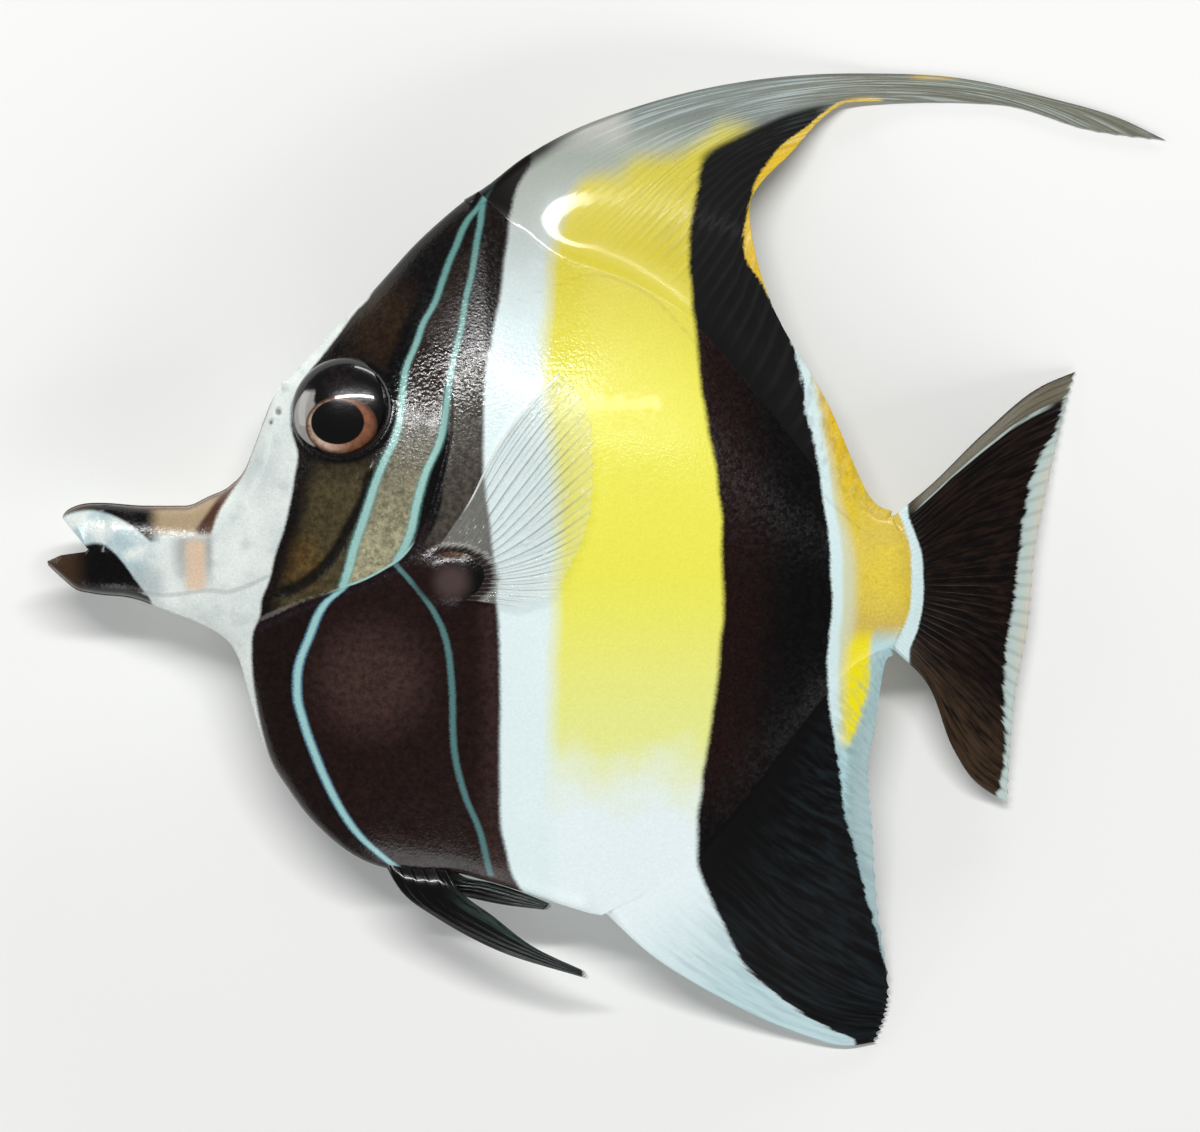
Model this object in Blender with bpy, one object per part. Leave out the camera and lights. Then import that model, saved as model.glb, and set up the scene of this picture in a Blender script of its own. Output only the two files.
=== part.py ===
# A moorish idol, life size, lying on its right side: head to -X, back to +Y, left side up.
# The sizes below are in millimetres. Each mesh is scaled to metres as its object is made.
from math import hypot, pi, sin, sqrt

import bmesh
import bpy
import numpy as np
from mathutils import Matrix, Vector

METRES = 0.001
GAP = 0.3
LEFT = 1
RIGHT = -1

# The flat fish rests on its right flank, this far under its middle plane.
MIDDLE_HEIGHT = 8.1
# Room left under the right flank for the right pectoral fin, which lies on the floor.
PECTORAL_ROOM = 1.15
PECTORAL_ROOM_X = -20.6

# The body's outline, read from the inch grid and the centimetre rule beside the fish.
FOREHEAD = [(-59.4, 0.0), (-57.6, 4.6), (-56.5, 5.4), (-53.8, 5.8), (-48.9, 5.5), (-44.8, 5.5),
            (-42.3, 6.5), (-40.1, 7.6), (-38.5, 9.4), (-37.4, 12.1), (-36.5, 14.6), (-35.7, 16.6),
            (-34.3, 18.6), (-32.1, 20.8), (-29.3, 23.9), (-25.8, 27.3), (-20.1, 33.5),
            (-16.3, 36.9), (-14.0, 38.7)]
DORSAL_BASE = [(-14.0, 38.7), (-11.7, 36.5), (-7.5, 32.9), (-2.2, 30.7), (3.1, 28.6), (8.3, 25.2),
               (13.6, 19.4), (18.3, 13.6), (23.1, 7.8), (26.8, 4.9), (30.5, 4.4)]
THROAT = [(-59.4, -0.4), (-57.8, -1.9), (-56.3, -3.1), (-54.7, -3.5), (-50.1, -4.1), (-46.8, -5.3),
          (-43.0, -6.8), (-41.2, -7.8), (-40.0, -8.9), (-39.1, -10.6), (-38.1, -14.1),
          (-36.5, -19.5), (-33.8, -24.3), (-29.3, -29.4), (-26.4, -31.4), (-23.3, -32.5),
          (-20.1, -32.9), (-16.9, -32.9), (-13.3, -33.7), (-9.6, -34.8), (-5.4, -36.2),
          (-1.2, -37.5)]
ANAL_BASE = [(-1.2, -37.5), (4.1, -34.8), (9.4, -30.6), (14.6, -24.8), (19.4, -18.5),
             (23.1, -13.8), (26.4, -10.6), (28.8, -9.6), (30.5, -9.4)]
DORSAL_START_X = -14.0
DORSAL_END_X = 27.0
ANAL_START_X = -1.2
ANAL_END_X = 28.8
PELVIC_BASE_X = (-25.8, -17.6)

# The line along each flank where the body is widest, and its half width there.
WIDEST_LINE = [(-59.4, -0.2), (-55.0, 1.0), (-43.3, 0.9), (-32.7, 4.1), (-22.2, 4.1),
               (-11.7, 2.0), (9.4, -0.1), (30.5, -2.4)]
HALF_WIDTH = [(-59.4, 0.5), (-57.6, 1.5), (-53.8, 2.5), (-47.5, 3.1), (-43.3, 3.6), (-39.1, 4.4),
              (-32.7, 5.8), (-28.0, 7.2), (-24.3, 8.3), (-20.0, 8.6), (-11.7, 8.4), (-6.4, 8.0),
              (-1.2, 7.3), (4.1, 6.6), (9.4, 5.8), (14.6, 4.9), (19.9, 3.9), (25.2, 2.8),
              (28.3, 2.2), (30.5, 1.9)]
# Half the thickness of the edge that a fin grows from, and how lens-like each section is.
FIN_ROOT = [(-59.4, 0.2), (-53.8, 0.8), (-43.3, 1.1), (-32.7, 1.3), (9.4, 1.2), (26.8, 0.95),
            (30.5, 0.9)]
LENS_POWER = [(-59.4, 0.5), (-45.0, 0.55), (-38.0, 0.8), (-30.0, 1.0), (-11.0, 1.1), (20.0, 1.1),
              (30.5, 0.8)]
EDGE_BAND = 0.15
EDGE_ROUNDING = 10
# The stalk's end is rounded, so that the tail fin's base curves.
TAIL_END_X = 30.3
TAIL_END_START_X = 26.0
TAIL_END_BULGE = 1.8

STATIONS = [-59.4, -58.8, -58.0, -57.0, -56.0, -54.6, -52.8, -50.6, -48.2, -46.0, -44.0, -42.3,
            -40.9, -39.8, -38.9, -38.1, -37.3, -36.5, -35.6, -34.4, -33.0, -31.4, -29.6, -27.6,
            -25.8, -24.8, -23.0, -21.2, -20.6, -19.8, -17.6, -16.6, -15.0, -13.9, -12.9, -10.8,
            -8.4, -5.8, -3.0, -1.2, -0.2, 2.4, 5.4, 8.4, 11.4, 14.4, 17.4, 20.4, 23.2, 25.6, 27.0,
            28.0, 28.9, 29.6, TAIL_END_X]
FLANK_STEPS = 14

# Away from the body the wet fins droop until their far ends lie on the floor.
SAG_CENTRE = (-5.4, 0.0)
SAG_RADII = (36.0, 40.0)
SAG_REACH = (0.85, 1.65)
SAG_DEPTH = 7.9
SAG_HEAD_X = (-30.0, -16.0)

# The eye: its centre on the flank, its radius in the flank's plane and its half depth.
EYE_CENTRE = (-28.0, 15.6)
EYE_RADIUS = 5.7
EYE_HALF_DEPTH = 2.7
EYE_SINK = 1.3
RIM_RADIUS = 5.9
RIM_THICKNESS = 0.45
RIM_SINK = 0.5

# Each nostril's place and radius.
NOSTRILS = [(-34.9, 15.4, 0.5), (-35.7, 14.2, 0.35)]
HORN_ROOT = (-33.6, 17.8)
HORN_TIP = (-35.4, 19.1)
HORN_ROOT_RADIUS = 0.75
HORN_TIP_RADIUS = 0.2
HORN_OFFSET = 1.5

# The cuts that part the body, as lines seen from the side.
GILL_OPENING = [(-18.4, 37.0), (-16.7, 24.1), (-16.2, 16.7), (-16.4, 13.6), (-17.5, 8.3),
                (-19.1, 4.1), (-20.3, 1.5), (-22.2, -0.3), (-25.4, -2.2), (-29.6, -4.0),
                (-33.8, -5.1), (-36.7, -6.4), (-40.6, -10.2)]
COVER_FRONT = [(-27.5, -3.1), (-26.2, 0.9), (-24.1, 6.2), (-22.4, 10.9), (-20.9, 12.9)]
COVER_REAR = [(-16.4, 13.6), (-17.5, 8.3), (-19.1, 4.1), (-20.3, 1.5), (-22.2, -0.3),
              (-25.4, -2.2)]
COVER_INNER_DEPTH = 5.3
COVER_OUTER_DEPTH = 14
# The cutters reach from under the floor to above the fish.
CUT_HEIGHTS = (-5, 25)
MOUTH_CORNER = (-54.9, 1.0)
MOUTH_WEDGE = [MOUTH_CORNER, (-57.6, 4.2), (-60.3, 7.4), (-61.7, -0.6), (-59.2, -0.2),
               (-57.8, 0.4), (-55.2, 0.75)]
LIP_LINE = [(-54.4, 8.0), (-54.0, 3.6), MOUTH_CORNER, (-53.8, -1.7), (-51.4, -6.0)]
STALK_LINE = [(26.2, 9.0), (26.2, -15.0)]
# The pieces that the cuts leave, each with a point near its middle.
BODY_PIECES = {"upper_lip": (-56.2, 4.0), "lower_jaw": (-55.4, -1.4), "head": (-34.0, 8.0),
               "torso": (0.0, 0.0), "tail_stalk": (28.5, -2.5)}

# Fin rays that guide the rest. Each starts at a place along its base and runs out to its tip.
DORSAL_RAYS = [
    (-13.5, [(-9.2, 42.3), (-4.3, 45.1), (2.8, 47.8), (10.6, 49.9), (19.3, 51.2), (26.2, 51.5),
             (36.3, 51.1), (46.6, 48.9), (54.1, 46.7), (58.9, 44.4)]),
    (-10.9, [(-4.3, 40.9), (3.1, 44.9), (11.5, 47.8), (19.9, 49.5), (27.3, 50.2), (34.6, 50.0),
             (41.5, 49.1), (46.2, 47.6), (50.6, 45.6)]),
    (-8.3, [(-2.2, 39.1), (5.2, 43.9), (13.1, 47.1), (20.9, 48.6), (28.3, 49.3), (34.6, 49.2),
            (40.9, 48.3)]),
    (-5.4, [(2.0, 37.8), (8.3, 43.1), (14.6, 46.2), (20.9, 47.9), (27.8, 48.6)]),
    (-2.0, [(4.1, 36.5), (9.4, 41.5), (14.6, 44.6), (19.4, 46.5), (23.6, 47.6)]),
    (2.0, [(7.3, 33.6), (10.6, 37.8), (14.6, 41.5), (19.6, 43.5)]),
    (8.3, [(10.9, 29.4), (13.3, 33.1), (14.6, 36.8)]),
    (13.6, [(15.4, 23.1), (16.9, 26.9)]),
    (19.9, [(21.6, 14.1), (22.7, 16.6)]),
    (26.6, [(27.0, 6.0), (27.3, 6.6)])]
ANAL_RAYS = [
    (-0.9, [(4.2, -41.7), (11.5, -46.3), (18.8, -49.8), (25.2, -51.6), (28.1, -51.2)]),
    (5.0, [(11.5, -39.6), (17.8, -44.3), (24.1, -47.5), (29.2, -48.3)]),
    (9.4, [(13.6, -34.3), (18.8, -39.1), (25.2, -43.1), (29.5, -45.4)]),
    (13.1, [(16.7, -29.6), (23.1, -33.6), (28.2, -36.4)]),
    (16.7, [(20.9, -24.8), (25.2, -26.9), (27.6, -28.3)]),
    (20.4, [(23.6, -19.6), (27.1, -22.7)]),
    (24.1, [(26.0, -14.8), (27.9, -17.2)]),
    (28.1, [(28.5, -10.6), (28.8, -11.2)])]
# The tail fin's base runs round the stalk's end, from 1 at its top to -1 at its bottom.
TAIL_RAYS = [
    (1.0, [(33.7, 7.8), (39.5, 13.4), (45.6, 18.3), (49.3, 19.9)]),
    (0.75, [(36.7, 8.3), (43.1, 12.8), (48.0, 15.2)]),
    (0.45, [(37.8, 5.2), (46.5, 8.8)]),
    (0.12, [(37.8, -0.3), (44.9, 0.9)]),
    (-0.2, [(37.8, -4.9), (44.3, -6.4)]),
    (-0.5, [(37.3, -9.6), (42.9, -13.8)]),
    (-0.78, [(36.2, -13.8), (42.3, -20.1)]),
    (-1.0, [(33.1, -12.8), (36.3, -20.3), (38.2, -23.2), (42.1, -26.0)])]
# The pectoral and pelvic fins' rays start on the flank and on the breast.
PECTORAL_RAYS = [
    [(-18.7, 0.3), (-16.9, 2.8), (-14.7, 6.2), (-12.3, 11.1), (-10.3, 14.2), (-8.1, 16.8),
     (-5.4, 19.5)],
    [(-18.7, -0.1), (-15.7, 1.9), (-13.2, 6.2), (-10.2, 10.8), (-7.2, 14.8), (-4.0, 18.2)],
    [(-18.8, -0.5), (-15.1, 0.7), (-12.6, 3.1), (-9.7, 6.7), (-6.4, 10.8), (-2.3, 15.4)],
    [(-18.9, -1.1), (-14.8, -0.2), (-12.5, 0.9), (-9.6, 3.3), (-6.2, 6.6), (-1.8, 10.6)],
    [(-18.9, -1.7), (-14.3, -1.1), (-11.4, -0.5), (-8.5, 0.6), (-5.4, 2.2), (-2.2, 4.4)],
    [(-18.9, -2.4), (-13.8, -2.1), (-10.9, -2.0), (-8.2, -1.6), (-4.1, -0.6)],
    [(-18.9, -3.3), (-13.8, -3.3), (-11.2, -3.4), (-9.1, -3.6), (-6.0, -3.6)],
    [(-18.7, -4.0), (-14.3, -4.4), (-11.9, -4.7), (-9.6, -5.0)]]
PELVIC_RAYS = {
    LEFT: [(-18.0, [(-15.9, -34.9), (-12.5, -37.5), (-8.5, -40.6), (-2.6, -43.5)]),
           (-21.6, [(-18.6, -35.9), (-13.4, -39.2), (-8.4, -41.5), (-2.4, -43.9)]),
           (-25.4, [(-21.6, -35.5), (-18.5, -37.7), (-12.7, -40.9), (-2.3, -44.3)])],
    RIGHT: [(-18.0, [(-15.6, -34.0), (-12.6, -34.7), (-9.4, -35.5), (-6.2, -36.8)]),
            (-20.4, [(-17.6, -34.6), (-13.6, -35.5), (-10.2, -36.2), (-6.3, -37.1)]),
            (-22.8, [(-19.1, -34.9), (-14.9, -36.1), (-11.5, -36.8), (-6.6, -37.5)])]}
STREAMER_X = 27.6
STREAMER_LAST_RAY = 2.72
SAIL_LAST_RAY = 6.0
HALF_RAY_GAP = 0.03

# How many rays stand out as ridges on each fin, how far, and how thin the membrane gets.
SAIL_RAYS = 17
STREAMER_RAYS = 5
REAR_RAYS = 10
ANAL_FIN_RAYS = 17
TAIL_FIN_RAYS = 15
PECTORAL_FIN_RAYS = 16
PELVIC_FIN_RAYS = 3
RAY_RIDGE = 0.13
RIDGE_SHARES = (0, 0.25)
FIN_ROWS = 10
REAR_ROWS = 7
TAIL_ROWS = 9
PELVIC_ROWS = 9
FIN_TIP = 0.27
DORSAL_ROOT = 1.2
ANAL_ROOT = 1.1
TAIL_ROOT = 0.9
# The fleshy lobe at the pectoral fin's root, seen from the side, and half its thickness.
LOBE_CENTRE = (-15.7, -1.9)
LOBE_RADII = (4.6, 3.0)
LOBE_REACH = (0.6, 1.15)
LOBE_HALF = 0.6
# The left pectoral fin's far end stands off the flank, and the right one lies on the floor.
PECTORAL_LIFT = 1.6
PECTORAL_LIFT_SHARES = (0.33, 1.2)
RIGHT_PECTORAL_HALF = 0.32
PELVIC_ROOT = 0.6
PELVIC_SPLIT = 0.15

SHARP_ANGLE = 0.7
SKIN_YELLOW = (0.87, 0.84, 0.12, 1.0)
SKIN_BLACK = (0.02, 0.01, 0.01, 1.0)
SKIN_WHITE = (0.78, 0.86, 0.88, 1.0)
FIN_GREY = (0.34, 0.38, 0.36, 1.0)


# Curves and small sums

def smooth_curve(knots, values):
    knots = np.array(knots, float)
    values = np.array(values, float)
    widths = np.diff(knots)
    chords = np.diff(values) / widths
    slopes = np.empty_like(values)
    slopes[0] = chords[0]
    slopes[-1] = chords[-1]
    before = chords[:-1]
    after = chords[1:]
    mean = (widths[1:] * before + widths[:-1] * after) / (widths[1:] + widths[:-1])
    limit = 3 * np.minimum(abs(before), abs(after))
    slopes[1:-1] = np.where(before * after > 0, np.sign(mean) * np.minimum(abs(mean), limit), 0)

    def value_at(place):
        index = int(np.clip(np.searchsorted(knots, place) - 1, 0, len(widths) - 1))
        step = widths[index]
        t = (min(max(place, knots[0]), knots[-1]) - knots[index]) / step
        rise = values[index + 1] - values[index]
        start = slopes[index] * step
        end = slopes[index + 1] * step
        return float(values[index] + t * start + t * t * (3 * rise - 2 * start - end)
                     + t ** 3 * (start + end - 2 * rise))

    return value_at


def curve_through(points):
    return smooth_curve(*zip(*points))


def path_through(points):
    steps = [hypot(b[0] - a[0], b[1] - a[1]) for a, b in zip(points, points[1:])]
    knots = np.concatenate([[0], np.cumsum(steps)]) / sum(steps)
    along_x = smooth_curve(knots, [p[0] for p in points])
    along_y = smooth_curve(knots, [p[1] for p in points])
    return lambda u: (along_x(u), along_y(u))


def smooth_step(value, low, high):
    t = min(max((value - low) / (high - low), 0.0), 1.0)
    return t * t * (3 - 2 * t)


forehead = curve_through(FOREHEAD)
dorsal_base = curve_through(DORSAL_BASE)
throat = curve_through(THROAT)
anal_base = curve_through(ANAL_BASE)
widest_line = curve_through(WIDEST_LINE)
half_width = curve_through(HALF_WIDTH)
fin_root = curve_through(FIN_ROOT)
lens_power = curve_through(LENS_POWER)


# The body's form

def top_edge(x):
    return forehead(x) if x < DORSAL_START_X else dorsal_base(x)


def bottom_edge(x):
    return throat(x) if x < ANAL_START_X else anal_base(x)


def top_bears_fin(x):
    return smooth_step(x, DORSAL_START_X - 1, DORSAL_START_X) * (
        1 - smooth_step(x, DORSAL_END_X, DORSAL_END_X + 1))


def bottom_bears_fin(x):
    pelvic = smooth_step(x, PELVIC_BASE_X[0] - 1, PELVIC_BASE_X[0]) * (
        1 - smooth_step(x, PELVIC_BASE_X[1], PELVIC_BASE_X[1] + 1))
    anal = smooth_step(x, ANAL_START_X - 1, ANAL_START_X) * (
        1 - smooth_step(x, ANAL_END_X, ANAL_END_X + 0.8))
    return pelvic + anal


def section(x, side):
    # Half the body's thickness, for a side that runs from -1 at the belly to 1 at the back.
    root = fin_root(x)
    bears_fin = top_bears_fin(x) if side > 0 else bottom_bears_fin(x)
    rounding = sqrt(max(1 - abs(side) ** EDGE_ROUNDING, 0))
    edge = rounding + (1 - rounding) * bears_fin
    bulge = max(1 - side * side, 0) ** lens_power(x)
    return (half_width(x) - root) * bulge + root * edge + EDGE_BAND


def flank(x, y):
    middle = widest_line(x)
    edge = top_edge(x) if y > middle else bottom_edge(x)
    side = min(abs((y - middle) / (edge - middle)), 1.0)
    return section(x, side if y > middle else -side)


def flank_normal(x, y):
    step = 0.5
    slope_x = (flank(x + step, y) - flank(x - step, y)) / (2 * step)
    slope_y = (flank(x, y + step) - flank(x, y - step)) / (2 * step)
    return Vector((-slope_x, -slope_y, 1)).normalized()


def middle_height(x, y):
    reach = hypot((x - SAG_CENTRE[0]) / SAG_RADII[0], (y - SAG_CENTRE[1]) / SAG_RADII[1])
    sag = SAG_DEPTH * smooth_step(reach, *SAG_REACH) * smooth_step(x, *SAG_HEAD_X)
    return MIDDLE_HEIGHT - sag


def rest_height(x):
    return PECTORAL_ROOM * smooth_step(x, PECTORAL_ROOM_X, PECTORAL_ROOM_X + 0.8)


# Meshes and objects

def new_object(name, mesh, scale=METRES):
    mesh.transform(Matrix.Scale(scale, 4))
    piece = bpy.data.objects.new(name, mesh)
    bpy.context.scene.collection.objects.link(piece)
    return piece


def object_from_bmesh(name, bm, scale=METRES):
    bmesh.ops.recalc_face_normals(bm, faces=bm.faces[:])
    if bm.calc_volume(signed=True) < 0:
        bmesh.ops.reverse_faces(bm, faces=bm.faces[:])
    mesh = bpy.data.meshes.new(name)
    bm.to_mesh(mesh)
    bm.free()
    return new_object(name, mesh, scale)


def loft(name, rings):
    # Each ring runs out along one face and back along the other, so its points pair up.
    # Both faces are split the same way, which keeps a thin curved sheet from crossing itself.
    bm = bmesh.new()
    rows = [[bm.verts.new(point) for point in ring] for ring in rings]
    count = len(rows[0])
    half = count // 2
    for near, far in zip(rows, rows[1:]):
        for k in range(count):
            after = (k + 1) % count
            a, b, c, d = near[k], near[after], far[after], far[k]
            if k < half:
                bm.faces.new((a, b, c))
                bm.faces.new((a, c, d))
            else:
                bm.faces.new((a, b, d))
                bm.faces.new((b, c, d))
    for row in (rows[0], rows[-1]):
        for k in range(half - 1):
            bm.faces.new((row[k], row[k + 1], row[count - 2 - k], row[count - 1 - k]))
    return object_from_bmesh(name, bm)


def offset_line(points, distance, closed=False):
    count = len(points)
    moved = []
    for i, (x, y) in enumerate(points):
        before = points[i - 1] if closed or i > 0 else None
        after = points[(i + 1) % count] if closed or i < count - 1 else None
        first = Vector((x - before[0], y - before[1])).normalized() if before else None
        second = Vector((after[0] - x, after[1] - y)).normalized() if after else None
        first = first or second
        second = second or first
        along = (first + second).normalized()
        stretch = max(along.dot(first), 0.5)
        moved.append((x - along.y * distance / stretch, y + along.x * distance / stretch))
    return moved


def prism(name, outline, low, high):
    bm = bmesh.new()
    face = bm.faces.new([bm.verts.new((x, y, low)) for x, y in outline])
    grown = bmesh.ops.extrude_face_region(bm, geom=[face])
    risen = [item for item in grown["geom"] if isinstance(item, bmesh.types.BMVert)]
    bmesh.ops.translate(bm, verts=risen, vec=(0, 0, high - low))
    return object_from_bmesh(name, bm)


def slot(name, line):
    left = offset_line(line, GAP / 2)
    right = offset_line(line, -GAP / 2)
    return prism(name, left + right[::-1], *CUT_HEIGHTS)


def ball(name, centre, radii, normal=Vector((0, 0, 1)), segments=26, rings=12):
    bm = bmesh.new()
    bmesh.ops.create_uvsphere(bm, u_segments=segments, v_segments=rings, radius=1)
    turn = normal.to_track_quat("Z", "Y").to_matrix().to_4x4()
    size = Matrix.Diagonal((*radii, 1))
    bm.transform(Matrix.Translation(centre) @ turn @ size)
    return object_from_bmesh(name, bm)


def combine(target, tool, operation):
    # Applies one Boolean and removes the tool.
    modifier = target.modifiers.new(operation, "BOOLEAN")
    modifier.operation = operation
    modifier.object = tool
    graph = bpy.context.evaluated_depsgraph_get()
    mesh = bpy.data.meshes.new_from_object(target.evaluated_get(graph))
    target.modifiers.clear()
    target.data = mesh
    bpy.data.objects.remove(tool)


def linked_parts(bm):
    unseen = set(bm.verts)
    while unseen:
        part = {unseen.pop()}
        edge_of_part = list(part)
        while edge_of_part:
            vert = edge_of_part.pop()
            for edge in vert.link_edges:
                other = edge.other_vert(vert)
                if other in unseen:
                    unseen.discard(other)
                    part.add(other)
                    edge_of_part.append(other)
        yield part


def closed_surfaces(piece):
    # The piece's separate closed surfaces, the largest first, each as its own bmesh.
    whole = bmesh.new()
    whole.from_mesh(piece.data)
    surfaces = []
    for part in list(linked_parts(whole)):
        kept = whole.copy()
        indices = {vert.index for vert in part}
        dropped = [vert for vert in kept.verts if vert.index not in indices]
        bmesh.ops.delete(kept, geom=dropped, context="VERTS")
        surfaces.append(kept)
    whole.free()
    return sorted(surfaces, key=lambda bm: bm.calc_volume(), reverse=True)


def middle_of(bm):
    return sum((vert.co for vert in bm.verts), Vector()) / len(bm.verts)


def keep_largest(piece):
    surfaces = closed_surfaces(piece)
    surfaces[0].to_mesh(piece.data)
    for bm in surfaces:
        bm.free()


# The body and what is cut from it

def make_body():
    rings = []
    for x in STATIONS:
        left = []
        right = []
        for k in range(FLANK_STEPS + 1):
            side = sin(pi * (k / FLANK_STEPS - 0.5))
            middle = widest_line(x)
            edge = top_edge(x) if side > 0 else bottom_edge(x)
            y = middle + abs(side) * (edge - middle)
            end = smooth_step(x, TAIL_END_START_X, TAIL_END_X)
            place = x + TAIL_END_BULGE * end * (1 - side * side)
            height = middle_height(place, y)
            half = section(x, side)
            left.append((place, y, height + half))
            right.append((place, y, max(height - half, rest_height(x))))
        rings.append(left + right[::-1])
    return loft("body", rings)


def add_horns(body):
    for side in (LEFT, RIGHT):
        height = MIDDLE_HEIGHT + side * HORN_OFFSET
        root = Vector((*HORN_ROOT, height))
        tip = Vector((*HORN_TIP, height))
        along = tip - root
        bm = bmesh.new()
        bmesh.ops.create_cone(bm, cap_ends=True, segments=10, radius1=HORN_ROOT_RADIUS,
                              radius2=HORN_TIP_RADIUS, depth=along.length)
        turn = along.to_track_quat("Z", "Y").to_matrix().to_4x4()
        bm.transform(Matrix.Translation((root + tip) / 2) @ turn)
        combine(body, object_from_bmesh("horn", bm), "UNION")


def eye_place(side):
    # The eye's centre and the way it faces.
    x, y = EYE_CENTRE
    normal = flank_normal(x, y)
    surface = Vector((x, y, flank(x, y)))
    centre = surface - normal * EYE_SINK
    for vector in (normal, surface, centre):
        vector.z *= side
    middle = Vector((0, 0, MIDDLE_HEIGHT))
    return centre + middle, surface + middle, normal


def add_eye_rim(body, side):
    centre, surface, normal = eye_place(side)
    bpy.ops.mesh.primitive_torus_add(major_radius=RIM_RADIUS, minor_radius=RIM_THICKNESS,
                                     major_segments=32, minor_segments=8)
    rim = bpy.context.object
    turn = normal.to_track_quat("Z", "Y").to_matrix().to_4x4()
    place = Matrix.Translation(surface - normal * RIM_SINK)
    rim.data.transform(Matrix.Scale(METRES, 4) @ place @ turn)
    combine(body, rim, "UNION")


def cut_eye_socket(body, side):
    centre, surface, normal = eye_place(side)
    radii = (EYE_RADIUS + GAP, EYE_RADIUS + GAP, EYE_HALF_DEPTH + GAP)
    combine(body, ball("socket", centre, radii, normal), "DIFFERENCE")


def make_eye(name, side):
    centre, surface, normal = eye_place(side)
    radii = (EYE_RADIUS, EYE_RADIUS, EYE_HALF_DEPTH)
    return ball(name, centre, radii, normal)


def cut_nostrils(body, side):
    for x, y, radius in NOSTRILS:
        centre = Vector((x, y, MIDDLE_HEIGHT + side * flank(x, y)))
        pit = ball("nostril", centre, (radius, radius, radius), segments=10, rings=6)
        combine(body, pit, "DIFFERENCE")


def cut_gill_cover(name, body, side):
    # The cover is a plate of the flank, set into the head with a gap all round.
    opening = COVER_REAR + COVER_FRONT
    plate = offset_line(opening, -GAP, closed=True)
    near = MIDDLE_HEIGHT + side * COVER_INNER_DEPTH
    inner = near + side * GAP
    far = MIDDLE_HEIGHT + side * COVER_OUTER_DEPTH
    cover = body.copy()
    cover.data = body.data.copy()
    cover.name = name
    bpy.context.scene.collection.objects.link(cover)
    combine(cover, prism("plate", plate, min(inner, far), max(inner, far)), "INTERSECT")
    combine(body, prism("opening", opening, min(near, far), max(near, far)), "DIFFERENCE")
    keep_largest(cover)
    return cover


def part_body(body):
    combine(body, prism("mouth", MOUTH_WEDGE, *CUT_HEIGHTS), "DIFFERENCE")
    for line in (LIP_LINE, GILL_OPENING, STALK_LINE):
        combine(body, slot("cut", line), "DIFFERENCE")
    surfaces = closed_surfaces(body)
    pieces = {}
    for name, (x, y) in BODY_PIECES.items():
        target = Vector((x, y, MIDDLE_HEIGHT)) * METRES
        nearest = min(surfaces[:len(BODY_PIECES)], key=lambda bm: (middle_of(bm) - target).length)
        pieces[name] = object_from_bmesh(name, nearest.copy(), 1)
    for bm in surfaces:
        bm.free()
    bpy.data.objects.remove(body)
    return pieces


# Fins

def fan_through(guides):
    # A surface point for a ray number, whole or between two guides, and a share of its length.
    paths = [path_through(points) for points in guides]
    numbers = list(range(len(paths)))

    def point_at(ray, share):
        places = [path(share) for path in paths]
        across_x = smooth_curve(numbers, [p[0] for p in places])
        across_y = smooth_curve(numbers, [p[1] for p in places])
        return across_x(ray), across_y(ray)

    return point_at


def edge_point(edge, x, outward):
    # A point a gap away from the body's edge, square to it.
    step = 0.2
    slope = (edge(x + step) - edge(x - step)) / (2 * step)
    normal = Vector((-slope, 1)).normalized() * outward
    return x + normal.x * GAP, edge(x) + normal.y * GAP


def tail_point(side):
    middle = widest_line(TAIL_END_X)
    edge = top_edge(TAIL_END_X) if side > 0 else bottom_edge(TAIL_END_X)
    y = middle + abs(side) * (edge - middle)
    return TAIL_END_X + TAIL_END_BULGE * (1 - side * side) + GAP, y


def share_at_x(point_at, ray, x):
    low = 0.0
    high = 1.0
    for _ in range(30):
        share = (low + high) / 2
        if point_at(ray, share)[0] < x:
            low = share
        else:
            high = share
    return high


def fin_sheet(name, columns, place):
    # place gives a point's x, y, middle height and half thickness for a ray and a share.
    rings = []
    for number, (ray, shares) in enumerate(columns):
        upper = []
        lower = []
        for share in shares:
            x, y, height, half = place(ray, share, number % 2)
            bottom = max(height - half, 0)
            upper.append((x, y, max(height + half, bottom + 2 * half)))
            lower.append((x, y, bottom))
        rings.append(upper + lower[::-1])
    return loft(name, rings)


def columns_of(first, last, rays, rows):
    shares = [k / rows for k in range(rows + 1)]
    steps = 2 * rays
    return [(first + (last - first) * i / steps, shares) for i in range(steps + 1)]


def middle_fin_place(point_at, root):
    # Thickness falls from the fin's scaled root to its thin membrane, and the rays stand out.
    def place(ray, share, on_ray):
        x, y = point_at(ray, share)
        half = FIN_TIP + (root - FIN_TIP) * (1 - share) ** 4
        half += on_ray * RAY_RIDGE * smooth_step(share, *RIDGE_SHARES)
        return x, y, middle_height(x, y), half
    return place


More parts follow.
